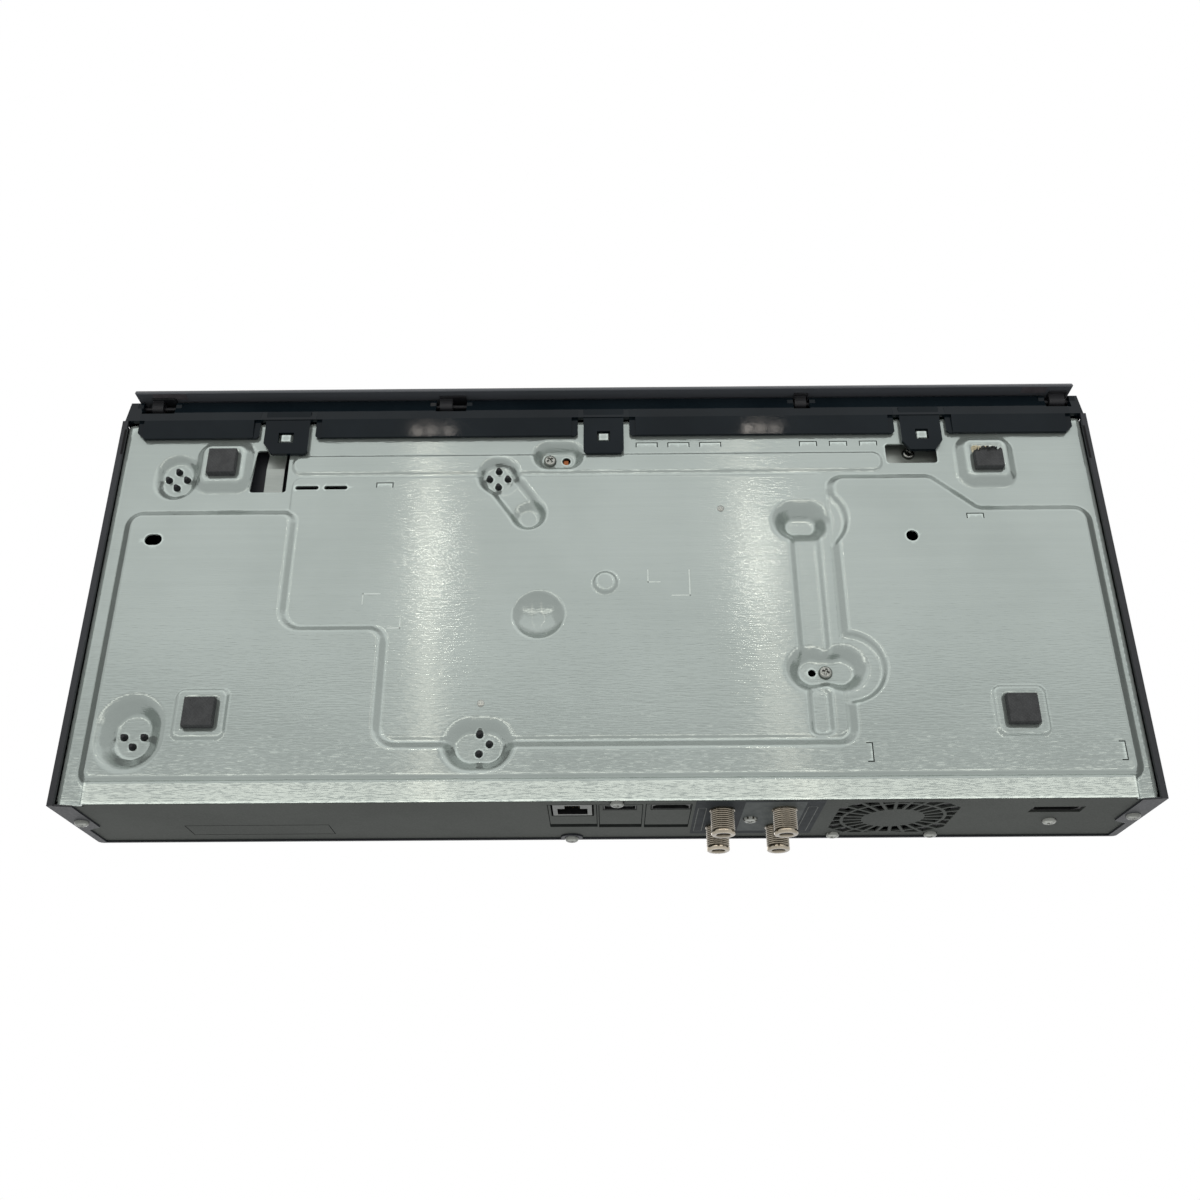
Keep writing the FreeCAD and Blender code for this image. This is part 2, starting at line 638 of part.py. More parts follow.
def front_fascia():
    """Glossy fascia: open-backed moulding with sloped underside, hinge slots, lips and snap tabs."""
    slope = (7.5 - case_bottom) / (case_front - flap_inner)
    wall_foot = case_bottom + slope * (case_front - fascia_wall_face)
    outer = side_profile([(case_front, case_bottom), (case_front, case_top), (front_face + 2, case_top),
                          (front_face, case_top - 2), (front_face, band_bottom),
                          (fascia_wall_face, band_bottom),
                          (fascia_wall_face, wall_foot)], -fascia_half_width, fascia_half_width)
    inner_wall = fascia_wall_face + fascia_wall
    band_inner = front_face + fascia_wall
    inner = side_profile([(case_front + 1, case_bottom + 2.1), (case_front + 1, case_top - 2),
                          (band_inner + 1, case_top - 2), (band_inner, case_top - 3.5),
                          (band_inner, band_bottom + 1.0), (inner_wall, band_bottom + 1.0),
                          (inner_wall, wall_foot + 1.9)], -fascia_half_width + 2, fascia_half_width - 2)
    round_front = slab([(-fascia_half_width, case_front + 1), (-fascia_half_width, front_face),
                        (fascia_half_width, front_face), (fascia_half_width, case_front + 1)],
                       [0, 3.0, 3.0, 0], 0, case_top + 1)
    shell = outer.common(round_front).cut(inner)
    added = []
    added += [fascia_lip(*lip) for lip in fascia_lips()]
    windows = []
    for x0, x1, rear, wx, wy, width, left_cut, right_cut in fascia_tabs:
        points = [(x0, case_front - 4.5), (x1, case_front - 4.5), (x1, rear - 1.4 * right_cut),
                  (x1 - right_cut, rear),
                  (x0 + left_cut, rear), (x0, rear - 1.4 * left_cut)]
        added.append(slab(points, [0, 0, 0.6, 0.6, 0.6, 0.6], lip_low - 0.4, lip_high))
        windows.append(box(wx - width / 2, wx + width / 2, wy - 2.6, wy + 2.6, 0, 20))
    ear = 2.6
    for slot0, slot1, _, _ in hinges:
        for x0 in (slot0 - ear, slot1):
            added.append(box(x0, x0 + ear, fascia_wall_face + 1, hinge_y + 3, hinge_height - 3,
                             hinge_height + 3))
    for x0, x1, z0, z1 in (power_place, eject_place):
        for x in (x0 - 3.5, x1 + 3.5):
            added.append(rod_y(1.8, x, (z0 + z1) / 2, front_face + 1, front_face + 7))
    for x in (window_frame[0] - 3, window_frame[1] + 3):
        added.append(rod_y(1.8, x, 47, front_face + 1, front_face + 7))
    shell = joined([shell] + added)
    cuts = windows
    x0, x1, z0, z1 = tray_opening
    cuts.append(box(x0, x1, front_face - 1, case_front + 1, z0, z1))
    x0, x1, z0, z1 = window_frame
    cuts.append(box(x0, x1, front_face - 1, front_face + 1.2, z0, z1))
    cuts.append(box(x0 + 2, x1 - 2, front_face - 1, front_face + 3, z0 + 2, z1 - 2))
    for x0, x1, z0, z1 in (power_place, eject_place):
        cuts.append(box(x0, x1, front_face - 1, front_face + 3, z0, z1))
    start, end = fascia_wall_face - 1, fascia_wall_face + 3
    ux, uz = front_usb
    cuts.append(box(ux - 6.9, ux + 6.9, start, end, uz - 2.2, uz + 4.6))
    cuts.append(box(card_slot_x - 8.2, card_slot_x + 8.2, start, end, 17.0, 19.6))
    cuts.append(box(memory_slot_x - 12.6, memory_slot_x + 12.6, start, end, 17.0, 20.2))
    for slot0, slot1, _, _ in hinges:
        cuts.append(box(slot0, slot1, fascia_wall_face - 1, hinge_y + 5, 0, hinge_height + 4.3))
        cuts.append(rod_x(hinge_pin_radius + 0.02, hinge_y, hinge_height, slot0 - ear - 1, slot1 + ear + 1))
    return shell.cut(cuts)


def hinge_pins():
    """Four steel pins that carry the flap's arms, held in the fascia's ears."""
    return Part.makeCompound([rod_x(hinge_pin_radius, hinge_y, hinge_height, slot0 - 2.4,
                                    slot1 + 2.4) for slot0, slot1, _, _ in hinges])


def flap_door():
    """Smoky drop-down flap over the lower front."""
    reach = half_width - flap_side_gap
    panel = side_profile([(front_face, flap_bottom + 2.2), (front_face + 0.6, flap_bottom + 0.7),
                          (front_face + 1.9, flap_bottom), (flap_inner - 0.2, flap_bottom),
                          (flap_inner, flap_bottom + 0.4),
                          (flap_inner, flap_top), (front_face + 0.5, flap_top),
                          (front_face, flap_top - 0.5)],
                         -reach, reach)
    return panel


def flap_arms():
    """Arms glued to the back of the flap: base plate, neck and eye round the hinge pin."""
    arms = []
    for slot0, slot1, arm0, arm1 in hinges:
        base = box(arm0, slot1 - 0.4, flap_inner, flap_inner + 0.8, 5.0, hinge_height + 4.0)
        neck = box(arm0, arm1, flap_inner, hinge_y, hinge_height - arm_eye_radius,
                   hinge_height + arm_eye_radius)
        eye = rod_x(arm_eye_radius, hinge_y, hinge_height, arm0, arm1)
        bore = rod_x(hinge_pin_radius + running_gap, hinge_y, hinge_height, arm0 - 1, arm1 + 1)
        arms.append(joined([base, neck, eye]).cut(bore))
    return Part.makeCompound(arms)


def drive_frame():
    """Moulded frame of the disc drive: floor, walls, tray ledges, hinge brackets and cam guides."""
    x0, x1 = drive_x - drive_half_width, drive_x + drive_half_width
    y0, y1 = drive_front, drive_front + drive_depth
    floor_top = drive_floor + 2
    floor = slab(rectangle(drive_x, (y0 + y1) / 2, 2 * drive_half_width + 5, drive_depth), 3.0,
                 drive_floor, floor_top)
    parts = [floor]
    parts += [box(x, x + drive_wall, y0, y1, drive_floor, drive_wall_top) for x in (x0, x1 - drive_wall)]
    parts.append(box(x0, x1, y1 - drive_wall, y1, drive_floor, tray_floor - 4))
    parts.append(box(x0, x1, y0, y0 + drive_wall, drive_floor, floor_top + 8))
    ledge = tray_floor - 4.4
    for side in (-1, 1):
        outer, inner = drive_x + side * (drive_half_width - 1), drive_x + side * (tray_half_width - 3)
        parts.append(box(min(outer, inner), max(outer, inner), y0, y1, ledge, ledge + 2.1))
        for y in (y0 + 6, y0 + 70, y0 + 130):
            keeper = drive_x + side * (tray_half_width - 1.5)
            parts.append(box(min(outer, keeper), max(outer, keeper), y, y + 12, tray_floor + 6.1,
                             tray_floor + 8))
    hinge = traverse_hinge()
    for side in (-1, 1):
        ear = drive_x + side * hinge_ear_offset
        parts.append(box(ear - 1.5, ear + 1.5, hinge[0] - 4, hinge[0] + 4, drive_floor, hinge[1] + 4))
    for x, y in ((drive_x + 5, cam_plane() - 1.0), (drive_x - 20, cam_plane() + 2.3)):
        parts.append(box(x, drive_x + 62, y, y + 0.7, floor_top, floor_top + 5))
    frame = joined(parts)
    cuts = [slab(rectangle(drive_x, (y0 + y1) / 2 + 8, 92, 100), 4.0, drive_floor - 1, floor_top + 1)]
    for side in (-1, 1):
        ear = drive_x + side * hinge_ear_offset
        cuts.append(rod_x(2.05, hinge[0], hinge[1], ear - 3, ear + 3))
    cuts.append(rod(7.3, (*motor_place(), drive_floor - 1), (*motor_place(), floor_top + 1)))
    for place in (tray_gear_place(), loading_gear_place()):
        cuts.append(rod(1.0, (*place, drive_floor - 1), (*place, floor_top + 1)))
    return frame.cut(cuts)


def traverse_hinge():
    """Line about which the optical unit tips: y, z."""
    return drive_front + 136.0, traverse_axis


def cam_plane():
    """Front face of the lift cam."""
    return drive_front + 19.0


def tray_gear_place():
    """Axis of the gear that meets the tray's rack: x, y."""
    return drive_x - 44.0, drive_front + 11.5


def loading_gear_place():
    """Axis of the geared pulley, in mesh with the tray gear: x, y."""
    x, y = tray_gear_place()
    return x + gear_module * (tray_gear_teeth + loading_gear_teeth) / 2, y


def motor_place():
    """Axis of the loading motor: x, y."""
    x, y = loading_gear_place()
    return x + 25.0, y


def drive_supports():
    """Moulded posts between the plate's mount recesses and the drive, with barbed prongs through the plate."""
    prong = [(0, -2.4), (0.8, -2.4), (1.5, -0.4), (1.2, -0.4), (1.2, plate_sheet), (0, plate_sheet)]
    posts = []
    for mount in mounts.values():
        x, y = mount["prongs"]
        base = rod_z(5.4, x, y, mount_floor + plate_sheet, drive_floor)
        prongs = [turned(prong, (x + dx, y + dy, mount_floor)) for dx, dy in mount["round"]]
        posts.append(joined([base] + prongs))
    return Part.makeCompound(posts)


def tray():
    """Disc tray: floor, rim round the disc well, side rails, spindle slot and toothed rack."""
    front = front_face + 2.4
    rear = front + tray_length
    body = slab(rectangle(drive_x, (front + rear) / 2, 2 * tray_half_width, tray_length), 3.0, tray_floor,
                tray_floor + 5.5)
    rails = [box(*inward(drive_x + side * tray_half_width, side, tray_rail_width), front + 4, rear,
                 tray_floor - 2, tray_floor) for side in (-1, 1)]
    rack_x = tray_gear_place()[0] - gear_module * tray_gear_teeth / 2
    body = joined([body] + rails + [tray_rack(rack_x, rear)])
    cuts = [rod_z(disc_radius + 1, drive_x, spindle_y, tray_floor + 2.5, tray_floor + 9),
            rod_z(40.5, drive_x, spindle_y, tray_floor + 1.6, tray_floor + 9),
            slab(rectangle(drive_x, spindle_y + 19, 42, 78), 12.0, tray_floor - 1, tray_floor + 9),
            box(drive_x - tray_half_width + 5, drive_x + tray_half_width - 5, spindle_y + 66, rear - 3,
                tray_floor + 1.8, tray_floor + 9)]
    return body.cut(cuts)


def tray_rack(pitch_x, rear):
    """Rack under the tray, teeth towards the tray gear."""
    pitch = math.pi * gear_module
    z0, z1 = tray_floor - 3.4, tray_floor
    gear_y = tray_gear_place()[1]
    count = int((rear - 6 - (gear_y - 5)) / pitch)
    y_start = gear_y - 1.5 * pitch
    root, tip = pitch_x - 1.15 * gear_module, pitch_x + 0.8 * gear_module
    points = [(pitch_x - 4, y_start)]
    for index in range(count):
        middle = y_start + (index + 1) * pitch
        for x, share in ((root, -0.27), (tip, -0.11), (tip, 0.11), (root, 0.27)):
            points.append((x, middle + share * pitch))
    last = y_start + (count + 0.8) * pitch
    points += [(root, last), (pitch_x - 4, last)]
    wire = Part.makePolygon([Vector(x, y, z0) for x, y in points + points[:1]])
    return Part.Face(wire).extrude(Vector(0, 0, z1 - z0))


def tray_lid():
    """Front cover strip of the tray, flush with the fascia's upper band."""
    x0, x1, z0, z1 = tray_opening
    plate = box(x0 + panel_gap, x1 - panel_gap, front_face, front_face + 2.0, z0 + panel_gap,
                z1 - panel_gap)
    spine = box(x0 + 8, x1 - 8, front_face + 2.0, front_face + 2.4, tray_floor, tray_floor + 5)
    return joined([plate, spine])


def tray_gear():
    """Gear that drives the tray's rack."""
    x, y = tray_gear_place()
    wheel = gear((x, y), tray_gear_teeth, 31, tray_floor - 0.4, 0)
    hub = rod_z(3, x, y, drive_floor + 2.3, 31)
    pin = rod_z(0.95, x, y, drive_floor, drive_floor + 2.3)
    return joined([wheel, hub, pin])


def loading_gear():
    """Small gear with the belt pulley below it."""
    x, y = loading_gear_place()
    wheel = gear((x, y), loading_gear_teeth, 31, 35, 15)
    hub = rod_z(3, x, y, drive_floor + 2.3, 31)
    pin = rod_z(0.95, x, y, drive_floor, drive_floor + 2.3)
    return joined([wheel, hub, pin, pulley(x, y, geared_pulley_groove, 7.5)])


def pulley(x, y, groove, flange):
    """Belt pulley with a flange above and below its groove."""
    profile = [(0, 0), (flange, 0), (flange, 0.6), (groove, 1.2), (groove, 3.0), (flange, 3.6),
               (flange, 4.2), (0, 4.2)]
    return turned(profile, (x, y, pulley_foot))


def motor_pulley():
    """Pulley and shaft of the loading motor."""
    x, y = motor_place()
    return joined([pulley(x, y, motor_pulley_groove, 3.6), rod_z(0.9, x, y, 18, pulley_foot)])


def loading_belt():
    """Rubber belt round the two pulleys."""
    (ax, y), (bx, _) = loading_gear_place(), motor_place()
    inside, outside = 0.08, 0.08 + belt_thickness
    inner = loop_round(ax, geared_pulley_groove + inside, bx, motor_pulley_groove + inside, y)
    outer = loop_round(ax, geared_pulley_groove + outside, bx, motor_pulley_groove + outside, y)
    low = pulley_foot + 1.5
    high = low + belt_thickness
    return Part.Face(outer).extrude(Vector(0, 0, high - low)).cut(
        Part.Face(inner).extrude(Vector(0, 0, high - low))).translated(Vector(0, 0, low))


def loop_round(ax, ar, bx, br, y):
    """Wire that runs tangent round two circles on one line along X."""
    lean = math.acos((ar - br) / (bx - ax))
    top_a = Vector(ax + ar * math.cos(lean), y + ar * math.sin(lean), 0)
    low_a = Vector(ax + ar * math.cos(lean), y - ar * math.sin(lean), 0)
    top_b = Vector(bx + br * math.cos(lean), y + br * math.sin(lean), 0)
    low_b = Vector(bx + br * math.cos(lean), y - br * math.sin(lean), 0)
    return Part.Wire([Part.Arc(top_a, Vector(ax - ar, y, 0), low_a).toShape(), Part.makeLine(low_a, low_b),
                      Part.Arc(low_b, Vector(bx + br, y, 0), top_b).toShape(), Part.makeLine(top_b, top_a)])


def loading_motor():
    """Motor that opens and closes the tray, hung in the drive's floor."""
    x, y = motor_place()
    can = rod_z(7.0, x, y, 9.8, 21.5)
    flange = box(x - 9.5, x + 9.5, y - 6.8, y + 6.8, drive_floor + 2, drive_floor + 3)
    nose = rod_z(3, x, y, 21.5, 22.5)
    return joined([can, flange, nose]).cut(rod_z(0.97, x, y, 17, 23))


def lift_cam():
    """Sliding cam plate with the slanted slot that lifts the optical unit."""
    y = cam_plane()
    low, high = drive_floor + 2.3, tray_floor - 0.8
    plate = box(drive_x - 18, drive_x + 44, y + 0.2, y + 1.9, low, high)
    pin_x, pin_z = lift_pin()
    rise = (traverse_hinge()[0] - y - 1) * math.sin(math.radians(lift_angle))
    lean = math.degrees(math.atan2(rise, cam_travel))
    length = math.hypot(rise, cam_travel)
    slot = joined([box(0, length, -1, 5, -1.5, 1.5), rod_y(1.5, 0, 0, -1, 5),
                   rod_y(1.5, length, 0, -1, 5)])
    slot.rotate(Vector(0, 0, 0), Vector(0, 1, 0), 180 + lean)
    slot.translate(Vector(pin_x, y, pin_z))
    windows = [slab(rectangle(drive_x - 8, 0, 12, 14), 2, 0, 5),
               slab(rectangle(drive_x + 35, 0, 10, 14), 2, 0, 5)]
    for window in windows:
        window.rotate(Vector(0, 0, 0), Vector(1, 0, 0), 90)
        window.translate(Vector(0, y + 4, 30))
    rail_relief = box(drive_x + 36, drive_x + 45, y, y + 3, tray_floor - 3.1, high + 1)
    return plate.cut([slot, rail_relief] + windows)


def lift_pin():
    """Place of the optical unit's pin in the cam slot: x, z."""
    return drive_x + 26.0, traverse_axis


def traverse_frame():
    """Frame of the optical unit with its hinge stubs, lift pin and openings."""
    hinge_line, hinge_z = traverse_hinge()
    front = cam_plane() + 4.0
    low, high = traverse_level, traverse_level + traverse_thickness
    body = slab(rectangle(drive_x, (front + hinge_line - 1) / 2, 84, hinge_line - 1 - front), 4.0, low,
                high)
    stubs = [rod_x(2.0, hinge_line, hinge_z, drive_x + side * 41, drive_x + side * 46.8)
             for side in (-1, 1)]
    blocks = [box(drive_x + side * 38 - 3, drive_x + side * 38 + 3, hinge_line - 6, hinge_line + 2.5, low,
                  high)
              for side in (-1, 1)]
    pin_x, pin_z = lift_pin()
    pin = rod_y(1.2, pin_x, pin_z, cam_plane() + 0.1, front + 1)
    body = joined([body, pin] + stubs + blocks)
    cuts = [slab(rectangle(drive_x, spindle_y + 43.5, 63, 57), 2.0, low - 1, high + 1),
            box(drive_x - 34, drive_x - 18, spindle_y + 0.5, spindle_y + 16, low - 1, high + 1),
            rod_z(9, drive_x, spindle_y, low - 1, high + 1)]
    return body.cut(cuts)


def spindle_motor():
    """Disc motor on the optical unit's frame."""
    top = traverse_level + traverse_thickness
    can = turned([(1.6, top), (13, top), (13, top + 3.2), (11.5, top + 4.2), (1.6, top + 4.2)],
                 (drive_x, spindle_y, 0))
    under = turned([(1.6, top - 4), (8.6, top - 4), (8.6, top), (1.6, top)], (drive_x, spindle_y, 0))
    return joined([can, under])


def turntable():
    """Turntable with centring cone and shaft."""
    base = traverse_level + traverse_thickness + 4.5
    top = tray_floor - 0.5
    profile = [(0, base - 7), (1.5, base - 7), (1.5, base), (15, base), (15, base + 2.6), (7.4, base + 2.6),
               (7.2, top - 1.2), (5.2, top), (0, top)]
    return turned(profile, (drive_x, spindle_y, 0))


def guide_rods():
    """Two steel rods on which the pickup slides."""
    y0, y1 = spindle_y + 15, spindle_y + 72
    z = traverse_axis
    return Part.makeCompound([rod_y(1.5, drive_x + side * guide_rod_offset, z, y0, y1) for side in (-1, 1)])


def pickup():
    """Laser pickup: slide body, lens actuator and screw follower."""
    y = spindle_y + 26.5
    z = traverse_axis
    body = box(drive_x - 23.5, drive_x + 23.5, y - 9, y + 9, z - 3.5, z + 3.5)
    tower = box(drive_x - 12, drive_x + 12, y - 10.5, y + 8, z - 3, z + 6.5)
    follower = box(drive_x - 28.6, drive_x - 23, y - 4, y + 4, z - 2.6, z + 2.6)
    lens = rod_z(2.4, drive_x, y - 3, z + 6.5, z + 7.2)
    body = joined([body, tower, follower, lens])
    cuts = [rod_y(1.5 + running_gap, drive_x + side * guide_rod_offset, z, y - 12,
                  y + 12) for side in (-1, 1)]
    cuts.append(rod_y(1.2 + running_gap, lead_screw_x, z, y - 12, y + 12))
    return body.cut(cuts)


def lead_screw():
    """Screw that drives the pickup."""
    z = traverse_axis
    return rod_y(1.2, lead_screw_x, z, spindle_y + 12, spindle_y + 71.6)


def sled_motor():
    """Small motor on the lead screw."""
    z = traverse_axis
    can = rod_y(6, lead_screw_x, z, spindle_y + 1, spindle_y + 13.5)
    plate = box(drive_x - 33, drive_x - 19, spindle_y + 13.5, spindle_y + 14.5, z - 6.5, z + 3)
    return joined([can, plate]).cut(rod_y(1.25, lead_screw_x, z, spindle_y + 11, spindle_y + 16))


def clamp_bridge():
    """Sheet metal bridge over the tray that carries the clamper."""
    plate = slab(rectangle(drive_x, spindle_y, 2 * drive_half_width, 40), 3.0, drive_wall_top,
                 drive_wall_top + bracket_sheet)
    ribs = [box(drive_x - 60, drive_x + 60, spindle_y + side * 16 - 1, spindle_y + side * 16 + 1,
                drive_wall_top + bracket_sheet, drive_wall_top + bracket_sheet + 1) for side in (-1, 1)]
    return joined([plate] + ribs).cut(rod_z(11.3, drive_x, spindle_y, drive_wall_top - 1,
                                            drive_wall_top + 3))


def disc_clamper():
    """Clamping disc that hangs in the bridge."""
    profile = [(0, tray_floor + 6.6), (9, tray_floor + 6.6), (9.4, tray_floor + 7.6),
               (16, tray_floor + 7.6),
               (16, tray_floor + 9), (11, tray_floor + 9), (11, drive_wall_top + 1.3),
               (14, drive_wall_top + 1.3),
               (14, drive_wall_top + 2.3), (0, drive_wall_top + 2.3)]
    return turned(profile, (drive_x, spindle_y, 0))


disk_x = (-32.0, -32.0 + disk_size[0])
disk_y = (case_front + 5.5, case_front + 5.5 + disk_size[1])
disk_z = (28.0, 28.0 + disk_size[2])


def hard_disk():
    """Hard disk: cast body with a stepped lid and a round motor boss."""
    (x0, x1), (y0, y1), (z0, z1) = disk_x, disk_y, disk_z
    body = slab(rectangle((x0 + x1) / 2, (y0 + y1) / 2, x1 - x0, y1 - y0), 2.0, z0 + 1.6, z1 - 1.5)
    lid = slab(rectangle((x0 + x1) / 2, (y0 + y1) / 2 + 4, x1 - x0 - 8, y1 - y0 - 22), 8.0, z1 - 1.5, z1)
    board = box(x0 + 4, x1 - 4, y0 + 40, y1 - 1, z0, z0 + 1.6)
    boss = rod_z(14, x0 + 50, y0 + 60, z1 - 1.5, z1 - 0.2)
    return joined([body, lid, board, boss])


def disk_bracket():
    """Sheet metal bracket that carries the hard disk over the main board."""
    (x0, x1), (y0, y1), (z0, _) = disk_x, disk_y, disk_z
    plate_top = centre_level + plate_sheet
    deck = box(x0 - 2.5, x1 + 2.5, y0 + 4, y1 - 4, z0 - bracket_sheet, z0)
    window = slab(rectangle((x0 + x1) / 2, (y0 + y1) / 2, 70, 100), 6, z0 - 3, z0 + 1)
    parts = [deck.cut(window)]
    for x, y, length in ((x0 - 2.5, case_front + 63.5, 18), (x0 - 2.5, case_front + 117, 22),
                         (x1 + 1.5, case_front + 66, 18), (x1 + 1.5, case_front + 134.5, 12)):
        outward = -7 if x < 0 else 7
        parts.append(box(x, x + bracket_sheet, y, y + length, plate_top, z0))
        parts.append(box(min(x, x + outward), max(x + 1, x + outward), y, y + length, plate_top,
                         plate_top + bracket_sheet))
    for x in (x0 - 2.5, x1 + 1.5):
        parts.append(box(x, x + bracket_sheet, y0 + 20, y1 - 20, z0, z0 + 9))
    return joined(parts)


board_x = (-14.0, 68.5)
board_z = 8.2
board_top = board_z + board_thickness


def main_board():
    """Main circuit board with its spacers on the plate."""
    y0, y1 = case_front + 36, panel_back - 4.2
    board = box(*board_x, y0, y1, board_z, board_top)
    plate_top = centre_level + plate_sheet
    spacers = [rod_z(3, x, y, plate_top, board_z) for x in (board_x[0] + 5, board_x[1] - 5)
               for y in (y0 + 8, case_front + 140)]
    return joined([board] + spacers)


def board_chips():
    """Larger chips and connectors of the main board."""
    y0 = case_front + 36
    places = ((4, 12, 14, 14, 1.4), (48, 14, 18, 12, 1.2), (52, 44, 10, 18, 1.2), (10, 86, 12, 12, 1.3),
              (34, 84, 16, 10, 4.5), (2, 66, 8, 8, 3.0), (58, 74, 14, 5, 6.0))
    chips = [box(board_x[0] + x, board_x[0] + x + w, y0 + y, y0 + y + d, board_top, board_top + h)
             for x, y, w, d, h in places]
    return Part.makeCompound(chips)


def processor_heat_sink():
    """Finned heat sink on the main processor."""
    x0, y0 = board_x[0] + 22, case_front + 76
    base = box(x0, x0 + 30, y0, y0 + 30, board_top + 1.6, board_top + 4.2)
    fins = [box(x0 + 0.2 + i * 3.3, x0 + 1.4 + i * 3.3, y0, y0 + 30, board_top + 4.2,
                board_top + 14) for i in range(9)]
    processor = box(x0 + 4, x0 + 26, y0 + 4, y0 + 26, board_top, board_top + 1.6)
    return joined([base, processor] + fins)


def network_jack():
    """Network socket: metal can with a stepped port."""
    x0, x1, z0, z1 = -21.0, -5.6, board_top, 25.2
    body = box(x0, x1, panel_back - 16, panel_face - 0.1, z0 + 0.4, z1)
    port = box(x0 + 1.8, x1 - 1.8, panel_back - 11, panel_face + 1, z0 + 6.2, z1 - 1.4)
    key = box(x0 + 4.7, x1 - 4.7, panel_back - 11, panel_face + 1, z0 + 2.2, z0 + 7)
    return body.cut([port, key])


def rear_usb_jack():
    """Rear USB socket with its contact tongue."""
    x0, x1, z0, z1 = -1.1, 11.8, 12.1, 17.6
    shell = box(x0, x1, panel_back - 13, panel_face - 0.2, z0, z1)
    port = box(x0 + 0.5, x1 - 0.5, panel_back - 11, panel_face + 1, z0 + 0.5, z1 - 0.5)
    tongue = box(x0 + 1.2, x1 - 1.2, panel_back - 11.5, panel_face - 1, z1 - 2.4, z1 - 0.9)
    foot = box(x0 + 1, x1 - 1, panel_back - 13, panel_back - 2, board_top, z0)
    return joined([shell.cut(port), tongue, foot])


def hdmi_jack():
    """HDMI socket with chamfered lower corners."""
    x0, x1, z0, z1 = 17.7, 32.8, 11.1, 17.1
    shell = box(x0, x1, panel_back - 11, panel_face - 0.2, z0, z1)
    port = rear_profile([(x0 + 2.2, z0 + 0.5), (x1 - 2.2, z0 + 0.5), (x1 - 0.5, z0 + 2.2),
                         (x1 - 0.5, z1 - 0.5),
                         (x0 + 0.5, z1 - 0.5), (x0 + 0.5, z0 + 2.2)], panel_back - 9, panel_face + 1)
    tongue = box(x0 + 2, x1 - 2, panel_back - 9.5, panel_face - 1.2, z0 + 2.4, z0 + 4.0)
    foot = box(x0 + 1, x1 - 1, panel_back - 11, panel_back - 2, board_top, z0)
    return joined([shell.cut(port), tongue, foot])


def tuner_unit():
    """Screened tuner box behind the aerial connectors."""
    x0, x1 = connector_x[0] - 9, min(connector_x[1] + 10, board_x[1] + 13)
    can = box(x0, x1, panel_back - 20, panel_back - 0.6, 12.5, connector_z[1] + 8)
    rim = box(x0 - 0.4, x1 + 0.4, panel_back - 20.4, panel_back - 0.6, connector_z[1] + 4,
              connector_z[1] + 5)
    feet_tabs = [box(x, x + 2, panel_back - 18, panel_back - 4, board_top,
                     12.5) for x in (x0 + 2, board_x[1] - 4)]
    bores = [rod_y(3.0, x, z, panel_back - 8, panel_back + 1) for x in connector_x for z in connector_z]
    screw_x, screw_z = panel_screw_places()[1]
    bores.append(rod_y(screw_hole_radius, screw_x, screw_z, panel_back - 8, panel_back + 1))
    return joined([can, rim] + feet_tabs).cut(bores)


def aerial_connectors():
    """Four threaded aerial connectors: hexagonal root, barrel with a centre hole, tail in the tuner."""
    shapes = []
    for x in connector_x:
        for z in connector_z:
            tip = half_depth
            profile = [(2.9, -6.5), (2.9, -0.6), (5.0, -0.6), (5.0, 0.9), (connector_radius, 0.9),
                       (connector_radius, tip - panel_back - 0.5),
                       (connector_radius - 0.5, tip - panel_back),
                       (2.7, tip - panel_back), (2.7, tip - panel_back - 3.4), (0, tip - panel_back - 3.4),
                       (0, -6.5)]
            shapes.append(turned(profile, (x, panel_back, z), (0, 1, 0)))
    return Part.makeCompound(shapes)


def power_board():
    """Power supply board on four posts."""
    x0, x1 = power_board_corner[0], right_wall - 8
    y0, y1 = power_board_corner[1], case_front + 172.5
    z0 = power_board_z
    board = box(x0, x1, y0, y1, z0, z0 + board_thickness)
    posts = [rod_z(3, x, y, field_level + plate_sheet, z0) for x in (x0 + 14,
                                                                     x1 - 8) for y in (y0 + 40, y1 - 22)]
    return joined([board] + posts)


def power_components():
    """Transformer, capacitors, coils and finned cooler of the power supply."""
    x0, y0 = power_board_corner
    z0 = power_board_z + board_thickness
    core = box(x0 + 20, x0 + 50, y0 + 50, y0 + 78, z0, z0 + 26)
    winding = box(x0 + 23, x0 + 47, y0 + 46, y0 + 82, z0 + 4, z0 + 22)
    parts = [joined([core, winding])]
    for x, y, radius, height in ((14, 108, 9, 30), (52, 100, 6, 22), (16, 30, 5, 20), (30, 30, 5, 20),
                                 (44, 30, 4, 16)):
        parts.append(turned([(0, z0), (radius, z0), (radius, z0 + height - 0.8),
                             (radius - 0.8, z0 + height), (0, z0 + height)],
                            (x0 + x, y0 + y, 0)))
    cooler = [box(x0 + 3, x0 + 6, y0 + 44, y0 + 88, z0, z0 + 28)]
    cooler += [box(x0 + 6, x0 + 13, y0 + 46 + i * 8, y0 + 47.5 + i * 8, z0 + 6, z0 + 28) for i in range(6)]
    parts.append(joined(cooler))
    parts.append(box(x0 + 26, x0 + 46, y0 + 100, y0 + 116, z0, z0 + 18))
    return Part.makeCompound(parts)


